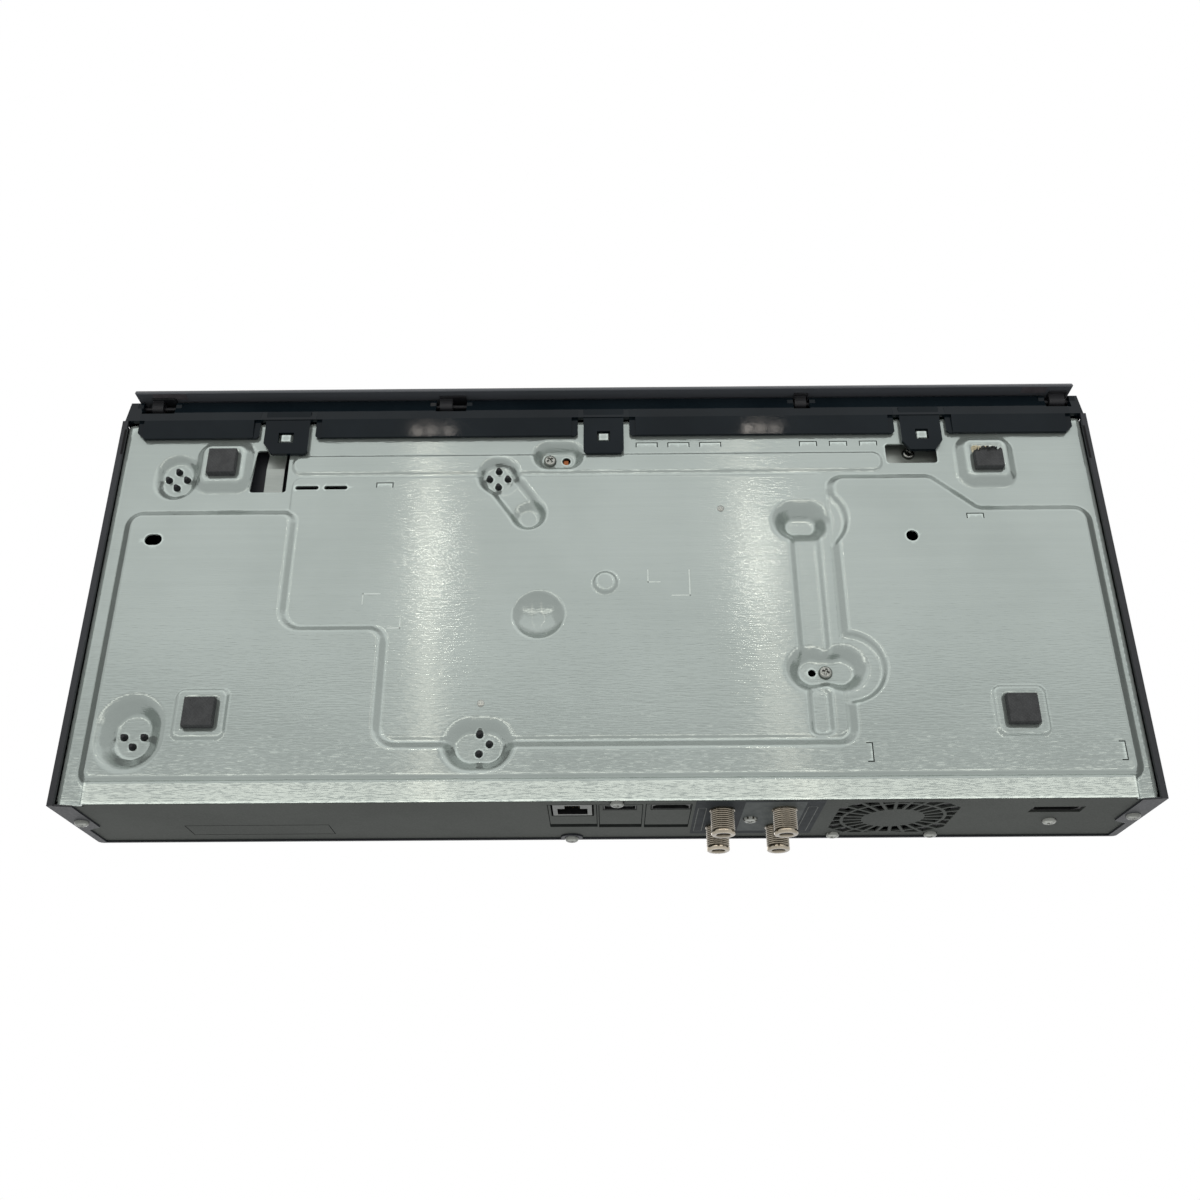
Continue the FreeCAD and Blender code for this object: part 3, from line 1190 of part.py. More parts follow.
def mains_inlet():
    """Two-pin mains inlet behind the rear panel."""
    body = box(inlet_x - 13, inlet_x + 13, panel_back - 20, panel_back, inlet_z - 6.5, inlet_z + 6.5)
    well = slab(rectangle(inlet_x, 0, 17.5, 7.0), 3.0, 0, 16)
    well.rotate(Vector(0, 0, 0), Vector(1, 0, 0), 90)
    well.translate(Vector(0, panel_back + 0.1, inlet_z))
    pins = [rod_y(1.2, inlet_x + dx, inlet_z, panel_back - 17, panel_back - 5) for dx in (-4.3, 4.3)]
    ear = box(inlet_x - 2, inlet_x + 6, panel_back - 3, panel_back, inlet_z + 6, inlet_z + 18)
    ear = ear.cut(rod_y(screw_hole_radius, inlet_x + 1.7, inlet_z + 14.9, panel_back - 4, panel_back + 1))
    leg = box(inlet_x - 10, inlet_x + 10, panel_back - 18, panel_back - 4, power_board_z + board_thickness,
              inlet_z - 6)
    return joined([body.cut(well), ear, leg] + pins)


def fan_frame():
    """Fan housing with its round duct, struts, motor cup and two screw ears."""
    half = fan_size / 2
    y1 = panel_back
    y0 = y1 - fan_depth
    housing = slab(rectangle(0, 0, fan_size, fan_size), 3.0, 0, fan_depth)
    housing = housing.cut(rod_z(half - 1.6, 0, 0, -1, fan_depth + 1))
    housing.rotate(Vector(0, 0, 0), Vector(1, 0, 0), 90)
    housing.translate(Vector(fan_x, y1, fan_z))
    parts = [housing]
    parts.append(rod_y(fan_hub_radius - 0.5, fan_x, fan_z, y0, y0 + 1.5))
    for index in range(3):
        strut = box(fan_hub_radius - 2, half - 0.5, 0, 1.5, -1, 1)
        strut.rotate(Vector(0, 0, 0), Vector(0, 1, 0), 120 * index + 40)
        strut.translate(Vector(fan_x, y0, fan_z))
        parts.append(strut)
    shaft_seat = rod_y(2.4, fan_x, fan_z, y0, y0 + 3.2)
    parts.append(shaft_seat)
    cuts = [rod_y(1.05, fan_x, fan_z, y0 + 0.8, y0 + 4)]
    for x, z in fan_screw_places():
        cuts.append(rod_y(screw_hole_radius, x, z, y0 - 1, y1 + 1))
    return joined(parts).cut(cuts)


def fan_strap():
    """Steel strap over the fan that screws to the rear panel."""
    y1 = panel_back
    top = fan_z + fan_size / 2
    strap_z = top + 0.1
    strap = box(fan_x - 24, fan_x + 25, y1 - fan_depth, y1, strap_z, strap_z + panel_sheet)
    holes = [rod_y(screw_hole_radius, x, z, y1 - fan_depth - 1, y1 + 1) for x, z in fan_screw_places()]
    return strap.cut(holes)


def fan_rotor():
    """Fan rotor: hub, shaft and seven swept blades."""
    y1 = panel_back - 0.6
    y0 = panel_back - fan_depth + 2.2
    hub = rod_y(fan_hub_radius - 0.7, fan_x, fan_z, y0, y1)
    hub = hub.cut(rod_y(fan_hub_radius - 1.9, fan_x, fan_z, y0 - 1, y1 - 1.2))
    shaft = rod_y(1.0, fan_x, fan_z, panel_back - fan_depth + 1.0, y1 - 1)
    blades = []
    reach = fan_size / 2 - 2.4
    for index in range(7):
        blade = box(fan_hub_radius - 1.3, reach, -4.4, 4.4, -0.5, 0.5)
        blade.rotate(Vector(0, 0, 0), Vector(1, 0, 0), 38)
        blade.rotate(Vector(0, 0, 0), Vector(0, 1, 0), 360 * index / 7)
        blade.translate(Vector(fan_x, (y0 + y1) / 2, fan_z))
        blades.append(blade)
    trim = rod_y(reach, fan_x, fan_z, y0 + 0.3, y1)
    return joined([hub, shaft] + [blade.common(trim) for blade in blades])


def front_board():
    """Upright board behind the display and the open button."""
    y = front_board_face
    return box(eject_place[0] - 6, window_frame[1] + 6, y, y + board_thickness, 40.5, 55.5)


def power_switch_board():
    """Small upright board behind the power button."""
    y = front_board_face
    return box(power_place[0] - 5.5, power_place[1] + 5.5, y, y + board_thickness, 41, 52)


def display_module():
    """Display tube between the front board and the window."""
    x0, x1, z0, z1 = window_frame
    y = front_board_face
    return box(x0 + 6, x1 - 6, front_face + 3.4, y, z0 + 2, z1 - 1.5)


def display_window():
    """Smoked display window set into the fascia."""
    x0, x1, z0, z1 = window_frame
    plate = box(x0 + 0.1, x1 - 0.1, front_face + 0.1, front_face + 1.2, z0 + 0.1, z1 - 0.1)
    step = box(x0 + 2.2, x1 - 2.2, front_face + 1.2, front_face + 2.2, z0 + 2.2, z1 - 2.2)
    return joined([plate, step])


def button_switches():
    """Two push switches behind the buttons."""
    y = front_board_face
    switches = []
    for x0, x1, z0, z1 in (power_place, eject_place):
        x, z = (x0 + x1) / 2, (z0 + z1) / 2
        body = box(x - 3, x + 3, y - 1.4, y, z - 3, z + 3)
        switches.append(joined([body, rod_y(1.6, x, z, y - 1.9, y - 1.4)]))
    return Part.makeCompound(switches)


def push_button(place):
    """Button cap with a retaining flange and a stem towards its switch."""
    x0, x1, z0, z1 = place
    gap = 0.25
    cap = slab(rectangle((x0 + x1) / 2, 0, x1 - x0 - 2 * gap, z1 - z0 - 2 * gap), 1.0, 0, 2.6)
    cap.rotate(Vector(0, 0, 0), Vector(1, 0, 0), 90)
    cap.translate(Vector(0, front_face + 2.6, (z0 + z1) / 2))
    flange = box(x0 - 0.8, x1 + 0.8, front_face + 2.3, front_face + 3.2, z0 - 0.8, z1 + 0.8)
    x, z = (x0 + x1) / 2, (z0 + z1) / 2
    stem = rod_y(1.6, x, z, front_face + 3.2, front_face + 4.0)
    return joined([cap, flange, stem])


def io_board():
    """Board of the front sockets behind the flap."""
    x0, x1 = right_wall - 104, right_wall - 12
    y0, y1 = inner_front() + 1.4, case_front + 22
    return box(x0, x1, y0, y1, front_board_top - board_thickness, front_board_top)


def inner_front():
    """Inner face of the fascia's wall behind the flap."""
    return fascia_wall_face + fascia_wall


def io_bracket():
    """Steel bracket under the socket board, seen through the plate's front right cut-out."""
    x, y = bracket_screw
    z0 = 12.6
    deck = box(x - 17, x + 17, case_front + 7, case_front + 25, z0, z0 + bracket_sheet)
    lips = [box(*inward(x + side * 17, side, bracket_sheet), case_front + 7, case_front + 21, z0,
                front_board_top - board_thickness) for side in (-1, 1)]
    legs = [box(*inward(x + side * 17, side, bracket_sheet), case_front + 22, case_front + 25,
                border_level + plate_sheet, z0 + 0.5) for side in (-1, 1)]
    return joined([deck] + lips + legs).cut(rod_z(screw_radius + 0.02, x, y, z0 - 1, z0 + 3))


def chassis_bracket():
    """Bent bracket seen through the plate's front left cut-out."""
    x0 = drive_x - 34.8
    y0 = case_front + 14.5
    low = border_level + plate_sheet
    bend = y0 + 8
    profile = [(y0 - 1.2, low), (y0 - 0.2, low), (y0 - 0.2, low + 3.2), (bend, low + 1.5),
               (y0 + 20, low + 1.5),
               (y0 + 20, low + 1.5 + bracket_sheet), (bend, low + 1.5 + bracket_sheet),
               (y0 - 0.2, low + 4.2),
               (y0 - 1.2, low + 4.2)]
    return side_profile(profile, x0 + 2.8, x0 + 11.0)


def front_usb_jack():
    """Front USB socket on the socket board."""
    x, z = front_usb
    y0, y1 = inner_front() + 0.2, inner_front() + 14
    z0, z1 = front_board_top, front_board_top + 6.4
    shell = box(x - 6.6, x + 6.6, y0, y1, z0, z1)
    port = box(x - 6.1, x + 6.1, y0 - 1, y1 - 2, z0 + 0.5, z1 - 0.5)
    tongue = box(x - 5.4, x + 5.4, y0 + 1, y1 - 1, z0 + 1.0, z0 + 2.4)
    return joined([shell.cut(port), tongue])


def card_socket(x, width, depth, height):
    """Flat card socket on the socket board with a slot to the front."""
    y0 = inner_front() + 0.2
    z0 = front_board_top
    body = box(x - width / 2 - 1.5, x + width / 2 + 1.5, y0, y0 + depth, z0, z0 + height + 1.2)
    return body.cut(box(x - width / 2, x + width / 2, y0 - 1, y0 + depth - 2, z0 + 0.6, z0 + height + 0.4))


def screws(places, axis, length):
    """Equal screws at several seats as one group."""
    return Part.makeCompound([screw(place, axis, length) for place in places])


def make_parts():
    """Every sub-part of the recorder by name."""
    rear_places = [(x, panel_face, z) for x, z in panel_screw_places()]
    cover_places = [(x, case_rear, z) for x, z in cover_screw_places()]
    bottom_places = [(pocket[0] - 3.9, pocket[1], 12.0), (lobe_x - 0.2, lobe_y, 11.3),
                     (*bracket_screw, 12.6)]
    return {
        "bottom_plate": bottom_plate(),
        "foot_pads": foot_pads(),
        "top_cover": top_cover(),
        "rear_panel": rear_panel(),
        "front_fascia": front_fascia(),
        "hinge_pins": hinge_pins(),
        "flap_door": flap_door(),
        "flap_arms": flap_arms(),
        "drive_frame": drive_frame(),
        "drive_supports": drive_supports(),
        "tray": tray(),
        "tray_lid": tray_lid(),
        "tray_gear": tray_gear(),
        "loading_gear": loading_gear(),
        "motor_pulley": motor_pulley(),
        "loading_belt": loading_belt(),
        "loading_motor": loading_motor(),
        "lift_cam": lift_cam(),
        "traverse_frame": traverse_frame(),
        "spindle_motor": spindle_motor(),
        "turntable": turntable(),
        "guide_rods": guide_rods(),
        "pickup": pickup(),
        "lead_screw": lead_screw(),
        "sled_motor": sled_motor(),
        "clamp_bridge": clamp_bridge(),
        "disc_clamper": disc_clamper(),
        "hard_disk": hard_disk(),
        "disk_bracket": disk_bracket(),
        "main_board": main_board(),
        "board_chips": board_chips(),
        "processor_heat_sink": processor_heat_sink(),
        "network_jack": network_jack(),
        "rear_usb_jack": rear_usb_jack(),
        "hdmi_jack": hdmi_jack(),
        "tuner_unit": tuner_unit(),
        "aerial_connectors": aerial_connectors(),
        "power_board": power_board(),
        "power_components": power_components(),
        "mains_inlet": mains_inlet(),
        "fan_frame": fan_frame(),
        "fan_strap": fan_strap(),
        "fan_rotor": fan_rotor(),
        "front_board": front_board(),
        "power_switch_board": power_switch_board(),
        "display_module": display_module(),
        "display_window": display_window(),
        "button_switches": button_switches(),
        "power_button": push_button(power_place),
        "eject_button": push_button(eject_place),
        "io_board": io_board(),
        "io_bracket": io_bracket(),
        "chassis_bracket": chassis_bracket(),
        "front_usb_jack": front_usb_jack(),
        "access_card_socket": card_socket(card_slot_x, 15.6, 20, 1.6),
        "memory_card_socket": card_socket(memory_slot_x, 24.4, 28, 2.2),
        "panel_screws": screws(rear_places, (0, 1, 0), 4.0),
        "cover_screws": screws(cover_places, (0, 1, 0), 3.0),
        "bottom_screws": screws(bottom_places, (0, 0, -1), 2.2),
    }


os.makedirs("parts", exist_ok=True)
for name, shape in make_parts().items():
    shape.exportStep("parts/" + name + ".step")
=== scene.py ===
import json
import math
import random

import bpy
import numpy as np
from mathutils import Matrix, Vector
from mathutils.geometry import delaunay_2d_cdt


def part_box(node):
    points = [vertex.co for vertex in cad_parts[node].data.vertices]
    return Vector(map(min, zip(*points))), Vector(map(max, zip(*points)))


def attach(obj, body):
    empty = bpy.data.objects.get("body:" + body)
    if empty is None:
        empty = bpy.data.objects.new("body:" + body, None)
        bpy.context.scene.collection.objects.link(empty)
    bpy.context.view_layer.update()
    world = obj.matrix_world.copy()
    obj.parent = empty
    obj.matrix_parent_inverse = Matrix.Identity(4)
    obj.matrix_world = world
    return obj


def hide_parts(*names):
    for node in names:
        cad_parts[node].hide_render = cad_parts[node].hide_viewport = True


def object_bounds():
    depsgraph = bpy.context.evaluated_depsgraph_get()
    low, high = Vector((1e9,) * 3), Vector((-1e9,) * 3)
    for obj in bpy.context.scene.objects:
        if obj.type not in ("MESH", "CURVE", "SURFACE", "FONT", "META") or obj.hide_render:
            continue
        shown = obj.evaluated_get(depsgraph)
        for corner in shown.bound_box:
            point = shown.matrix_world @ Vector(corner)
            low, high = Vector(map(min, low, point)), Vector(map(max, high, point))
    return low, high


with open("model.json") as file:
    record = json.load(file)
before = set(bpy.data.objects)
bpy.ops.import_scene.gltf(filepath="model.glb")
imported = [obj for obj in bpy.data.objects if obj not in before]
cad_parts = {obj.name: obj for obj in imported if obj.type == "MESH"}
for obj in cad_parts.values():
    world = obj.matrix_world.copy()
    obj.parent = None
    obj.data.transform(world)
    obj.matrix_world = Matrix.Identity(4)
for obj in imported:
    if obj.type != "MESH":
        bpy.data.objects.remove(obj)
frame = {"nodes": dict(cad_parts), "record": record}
cadLow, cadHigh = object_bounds()
print("frame loaded")

mm = 0.001
materialOf = {}

# The case in millimetres, read from the frame: the front faces -Y and the feet stand at z 0
coverLow, coverHigh = [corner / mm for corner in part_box("top_cover")]
leftWall, rightWall = coverLow.x, coverHigh.x
caseFront, caseRear = coverLow.y, coverHigh.y
frontFace = cadLow.y / mm
rearTip = cadHigh.y / mm
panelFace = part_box("rear_panel")[1].y / mm
plateLow, plateHigh = [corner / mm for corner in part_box("bottom_plate")]
driveX = (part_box("tray")[0].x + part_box("tray")[1].x) / 2 / mm


# Small helpers

def linearColour(text):
    parts = [int(text[i:i + 2], 16) / 255 for i in (1, 3, 5)]
    return (*[p / 12.92 if p <= 0.04045 else ((p + 0.055) / 1.055) ** 2.4 for p in parts], 1.0)


def addNode(tree, kind, settings=None, inputs=None):
    # one node with its settings; an input that is an output socket of another node is linked
    node = tree.nodes.new(kind)
    for name, value in (settings or {}).items():
        setattr(node, name, value)
    for name, value in (inputs or {}).items():
        if isinstance(value, bpy.types.NodeSocket):
            tree.links.new(value, node.inputs[name])
        else:
            node.inputs[name].default_value = value
    return node


def addPiece(name, vertices, faces, body, slot, material=None):
    mesh = bpy.data.meshes.new(name)
    mesh.from_pydata([(x * mm, y * mm, z * mm) for x, y, z in vertices], [], faces)
    mesh.update()
    piece = bpy.data.objects.new(name, mesh)
    bpy.context.scene.collection.objects.link(piece)
    mesh.materials.append(material or materialOf[slot])
    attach(piece, body)
    return piece


def shadeSmooth(piece, angle=35):
    piece.data.polygons.foreach_set("use_smooth", [True] * len(piece.data.polygons))
    piece.data.set_sharp_from_angle(angle=math.radians(angle))


def softenEdges(piece, widthMm, segments=2, angle=35):
    # a small rounding that catches the light on every sharp edge
    bevel = piece.modifiers.new("roundedEdges", "BEVEL")
    bevel.width = widthMm * mm
    bevel.segments = segments
    bevel.limit_method = "ANGLE"
    bevel.angle_limit = math.radians(angle)
    bevel.harden_normals = False
    normals = piece.modifiers.new("evenShading", "WEIGHTED_NORMAL")
    normals.keep_sharp = True


def ring(count, radius, centre, z, turn=0.0):
    steps = [turn + 2 * math.pi * i / count for i in range(count)]
    return [(centre[0] + radius * math.cos(a), centre[1] + radius * math.sin(a), z) for a in steps]


def bridgeRings(first, second, count):
    return [(first + i, first + (i + 1) % count, second + (i + 1) % count, second + i) for i in range(count)]


def closeRings(first, vertices, count, faces):
    # skin over the rings from first to the end of the list, with a cap at each end
    last = len(vertices) - count
    for lower in range(first, last, count):
        faces += bridgeRings(lower + count, lower, count)
    faces.append(tuple(range(last, last + count))[::-1])
    faces.append(tuple(range(first, first + count)))


# Materials: each starts from the real finish, then gets its tone, polish and grain from noise in object space

def startMaterial(slot, name, look):
    material = bpy.data.materials.new(name)
    material.use_nodes = True
    tree = material.node_tree
    shader = tree.nodes["Principled BSDF"]
    shader.inputs["Metallic"].default_value = look.get("metallic", 0.0)
    if "ior" in look:
        shader.inputs["IOR"].default_value = look["ior"]
    if "coat" in look:
        shader.inputs["Coat Weight"].default_value = look["coat"]
        shader.inputs["Coat Roughness"].default_value = look["coatRoughness"]
    if "specular" in look:
        shader.inputs["Specular IOR Level"].default_value = look["specular"]
    where = addNode(tree, "ShaderNodeTexCoord").outputs["Object"]
    if "stretch" in look:
        stretched = addNode(tree, "ShaderNodeMapping", {}, {"Vector": where, "Scale": look["stretch"]})
        where = stretched.outputs["Vector"]
    broad = addNode(tree, "ShaderNodeTexNoise", {},
                    {"Vector": where, "Scale": 1 / (look["patchMm"] * mm), "Detail": 4.0, "Roughness": 0.6})
    fine = addNode(tree, "ShaderNodeTexNoise", {},
                   {"Vector": where, "Scale": 1 / (look["grainMm"] * mm), "Detail": 3.0, "Roughness": 0.65})
    blend = addNode(tree, "ShaderNodeMapRange", {"interpolation_type": "SMOOTHSTEP"},
                    {"Value": broad.outputs["Fac"], "From Min": 0.32, "From Max": 0.68})
    tone = addNode(tree, "ShaderNodeMix", {"data_type": "RGBA"},
                   {0: blend.outputs[0], 6: linearColour(look["dark"]), 7: linearColour(look["light"])})
    polish = addNode(tree, "ShaderNodeMapRange", {},
                     {"Value": fine.outputs["Fac"], "From Min": 0.3, "From Max": 0.7,
                      "To Min": look["shiny"], "To Max": look["matt"]})
    relief = addNode(tree, "ShaderNodeBump", {},
                     {"Height": fine.outputs["Fac"], "Strength": 1.0, "Distance": look["reliefMm"] * mm})
    tree.links.new(tone.outputs[2], shader.inputs["Base Color"])
    tree.links.new(polish.outputs[0], shader.inputs["Roughness"])
    tree.links.new(relief.outputs["Normal"], shader.inputs["Normal"])
    if slot:
        materialOf[slot] = material
    return {"material": material, "tree": tree, "shader": shader, "where": where, "tone": tone,
            "relief": relief}


def paintedShadeAndHighlight(made, low, high, dark, bright):
    # painted shade in grooves and painted highlight on crests: the tone follows how hollow or proud the
    # surface is
    tree = made["tree"]
    shape = addNode(tree, "ShaderNodeNewGeometry").outputs["Pointiness"]
    factor = addNode(tree, "ShaderNodeMapRange", {},
                     {"Value": shape, "From Min": low, "From Max": high, "To Min": dark, "To Max": bright})
    shaded = addNode(tree, "ShaderNodeVectorMath", {"operation": "SCALE"},
                     {0: made["tone"].outputs[2], "Scale": factor.outputs[0]})
    tree.links.new(shaded.outputs[0], made["shader"].inputs["Base Color"])


def galvanisedSteel():
    # zinc-coated sheet, cold rolled: grey-green metal whose short dashes along X glitter under a lamp;
    # the real dashes are finer and are drawn 0.5 mm wide so that they show
    look = {"dark": "#959E9A", "light": "#9BA4A0", "metallic": 0.5, "shiny": 0.09, "matt": 0.13,
            "patchMm": 70, "grainMm": 1.1, "reliefMm": 0.002,
            "dashStretch": (0.12, 1.0, 1.0), "dashMm": 0.52, "dashHighMm": 0.055,  # marks of the rolls
            "rollStretch": (0.02, 1.0, 1.0), "rollMm": 1.6, "rollTone": 0.03,  # long faint streaks
            "bendFrom": 0.012, "bendTo": 0.05, "bendHighlight": 1.4}  # painted highlight on pressed bends
    made = startMaterial("galvanised_steel", "zincCoatedSheetRolled", look)
    tree, shader = made["tree"], made["shader"]
    rolled = addNode(tree, "ShaderNodeMapping", {}, {"Vector": made["where"], "Scale": look["rollStretch"]})
    lines = addNode(tree, "ShaderNodeTexNoise", {},
                    {"Vector": rolled.outputs["Vector"], "Scale": 1 / (look["rollMm"] * mm), "Detail": 5.0})
    streaks = addNode(tree, "ShaderNodeMapRange", {},
                      {"Value": lines.outputs["Fac"], "From Min": 0.35, "From Max": 0.65,
                       "To Min": 1 - look["rollTone"] / 2, "To Max": 1 + look["rollTone"] / 2})
    streaked = addNode(tree, "ShaderNodeVectorMath", {"operation": "SCALE"},
                       {0: made["tone"].outputs[2], "Scale": streaks.outputs[0]})
    # painted highlight: the tone is raised where the pointiness shows a bend, convex or concave
    shape = addNode(tree, "ShaderNodeNewGeometry").outputs["Pointiness"]
    bend = addNode(tree, "ShaderNodeMath", {"operation": "SUBTRACT"}, {0: shape, 1: 0.5})
    bend = addNode(tree, "ShaderNodeMath", {"operation": "ABSOLUTE"}, {0: bend.outputs[0]})
    paintedBendHighlight = addNode(tree, "ShaderNodeMapRange", {},
                     {"Value": bend.outputs[0], "From Min": look["bendFrom"], "From Max": look["bendTo"],
                      "To Min": 1.0, "To Max": look["bendHighlight"]})
    shade = addNode(tree, "ShaderNodeVectorMath", {"operation": "SCALE"},
                    {0: streaked.outputs[0], "Scale": paintedBendHighlight.outputs[0]})
    drawn = addNode(tree, "ShaderNodeMapping", {}, {"Vector": made["where"], "Scale": look["dashStretch"]})
    dashes = addNode(tree, "ShaderNodeTexNoise", {},
                     {"Vector": drawn.outputs["Vector"], "Scale": 1 / (look["dashMm"] * mm), "Detail": 0.8})
    raised = addNode(tree, "ShaderNodeBump", {},
                     {"Height": dashes.outputs["Fac"], "Strength": 1.0, "Distance": look["dashHighMm"] * mm,
                      "Normal": made["relief"].outputs["Normal"]})
    tree.links.new(shade.outputs[0], shader.inputs["Base Color"])
    tree.links.new(raised.outputs["Normal"], shader.inputs["Normal"])


def charcoalPaint():
    # polyester powder coat on steel sheet: near-black with a fine orange-peel that scatters highlights
    startMaterial("cover_paint", "charcoalPowderCoat",
                  {"dark": "#17191D", "light": "#1E2126", "shiny": 0.44, "matt": 0.56, "patchMm": 90,
                   "grainMm": 0.9, "reliefMm": 0.02, "ior": 1.5, "specular": 0.35})


def greyPanelPaint():
    # satin enamel on steel sheet: even dark grey; its very fine texture is drawn at 0.7 mm so that it shows
    startMaterial("panel_paint", "greySatinEnamel",
                  {"dark": "#3C3F3C", "light": "#434643", "shiny": 0.62, "matt": 0.74, "patchMm": 70,
                   "grainMm": 0.7, "reliefMm": 0.01, "ior": 1.5, "specular": 0.12})


def glossBlackAbs():
    # injection-moulded ABS from a polished tool: deep blue-black, sharp lamp reflections, faint waviness
    startMaterial("gloss_black", "polishedBlackAbs",
                  {"dark": "#0C1419", "light": "#131B20", "shiny": 0.04, "matt": 0.08, "patchMm": 45,
                   "grainMm": 12.0, "reliefMm": 0.02, "ior": 1.46, "specular": 0.12})


def smokedAcrylic():
    # smoked PMMA sheet, wet-looking; by its normal the face towards -Y is painted darker (painted shade), and
    # the back and edges keep a greyer tone
    look = {"dark": "#4D5155", "light": "#515459", "shiny": 0.09, "matt": 0.14, "patchMm": 90,
            "grainMm": 12.0, "reliefMm": 0.01, "ior": 1.49, "specular": 0.3,
            "front": "#1A1B1E", "frontFrom": -0.8, "frontTo": -0.3}  # painted shade on the face towards -Y, picked by its normal
    made = startMaterial("smoke_acrylic", "smokedAcrylicSheet", look)
    tree = made["tree"]
    # painted shade: the tone turns darker on faces whose normal points towards -Y
    normal = addNode(tree, "ShaderNodeTexCoord").outputs["Normal"]
    facing = addNode(tree, "ShaderNodeSeparateXYZ", {}, {0: normal})
    back = addNode(tree, "ShaderNodeMapRange", {},
                   {"Value": facing.outputs["Y"], "From Min": look["frontFrom"], "From Max": look["frontTo"]})
    sheet = addNode(tree, "ShaderNodeMix", {"data_type": "RGBA"},
                    {0: back.outputs[0], 6: linearColour(look["front"]), 7: made["tone"].outputs[2]})
    tree.links.new(sheet.outputs[2], made["shader"].inputs["Base Color"])


def satinBlackAbs(slot, name, dark, light):
    # moulded plastic from a spark-eroded tool: black with a fine even grain, really about 0.1 mm and
    # drawn at 0.5 mm so that it shows
    startMaterial(slot, name, {"dark": dark, "light": light, "shiny": 0.34, "matt": 0.52, "patchMm": 25,
                               "grainMm": 0.5, "reliefMm": 0.008, "ior": 1.53, "specular": 0.2})


def hatchedRubber():
    # vulcanised rubber pad: matt charcoal with a dusty bloom
    startMaterial("rubber_pad", "vulcanisedRubber",
                  {"dark": "#252728", "light": "#333536", "shiny": 0.62, "matt": 0.85, "patchMm": 4,
                   "grainMm": 0.4, "reliefMm": 0.04, "ior": 1.52})


def beltRubber():
    # smooth neoprene belt: black with a soft sheen
    startMaterial("belt_rubber", "neopreneBelt",
                  {"dark": "#141414", "light": "#1E1E1D", "shiny": 0.45, "matt": 0.6, "patchMm": 6,
                   "grainMm": 0.3, "reliefMm": 0.01, "ior": 1.52})


def bareMetal(slot, name, dark, light, shiny, matt, stretch=(1, 1, 1), metallic=1.0, grainMm=0.6):
    # plated or ground metal: the stretch draws the grain out along the way it was ground or rolled, and
    # its hair-fine marks are drawn at half a millimetre or more so that they show
    look = {"dark": dark, "light": light, "metallic": metallic, "shiny": shiny, "matt": matt,
            "patchMm": 12, "grainMm": grainMm, "reliefMm": 0.006, "stretch": stretch}
    return startMaterial(slot, name, look)


def whiteAcetal():
    # machined and moulded acetal gears: milky white with a waxy sheen
    made = startMaterial("gear_white", "naturalAcetal",
                         {"dark": "#D5D0C2", "light": "#E2DED2", "shiny": 0.32, "matt": 0.45, "patchMm": 8,
                          "grainMm": 0.5, "reliefMm": 0.004, "ior": 1.48})
    made["shader"].inputs["Subsurface Weight"].default_value = 0.15


def solderMask():
    # green solder mask on glass-epoxy board: glossy lacquer over a fine copper relief
    startMaterial("board_green", "greenSolderMask",
                  {"dark": "#17402A", "light": "#23583A", "shiny": 0.22, "matt": 0.4, "patchMm": 3,
                   "grainMm": 0.8, "reliefMm": 0.03, "ior": 1.52, "coat": 0.3, "coatRoughness": 0.15})


def woundParts():
    # varnished windings, sleeves and cans of a power supply: dark browns and greys
    startMaterial("component_mix", "varnishedWindings",
                  {"dark": "#2E2A26", "light": "#5A5348", "shiny": 0.3, "matt": 0.55, "patchMm": 9,
                   "grainMm": 0.7, "reliefMm": 0.05, "ior": 1.5})


def displayGlass():
    # soda-lime glass tube over a dark ground: smooth, faintly green
    startMaterial("display_glass", "darkDisplayGlass",
                  {"dark": "#0C1614", "light": "#12201D", "shiny": 0.05, "matt": 0.09, "patchMm": 20,
                   "grainMm": 8.0, "reliefMm": 0.005, "ior": 1.52})


def ownMaterial(name, dark, light, shiny, matt, metallic=0.0, specular=0.15):
    # finish of a small extra piece that shares a slot with a larger one
    look = {"dark": dark, "light": light, "shiny": shiny, "matt": matt, "metallic": metallic, "patchMm": 4,
            "grainMm": 0.5, "reliefMm": 0.01, "specular": specular}
    return startMaterial(None, name, look)["material"]


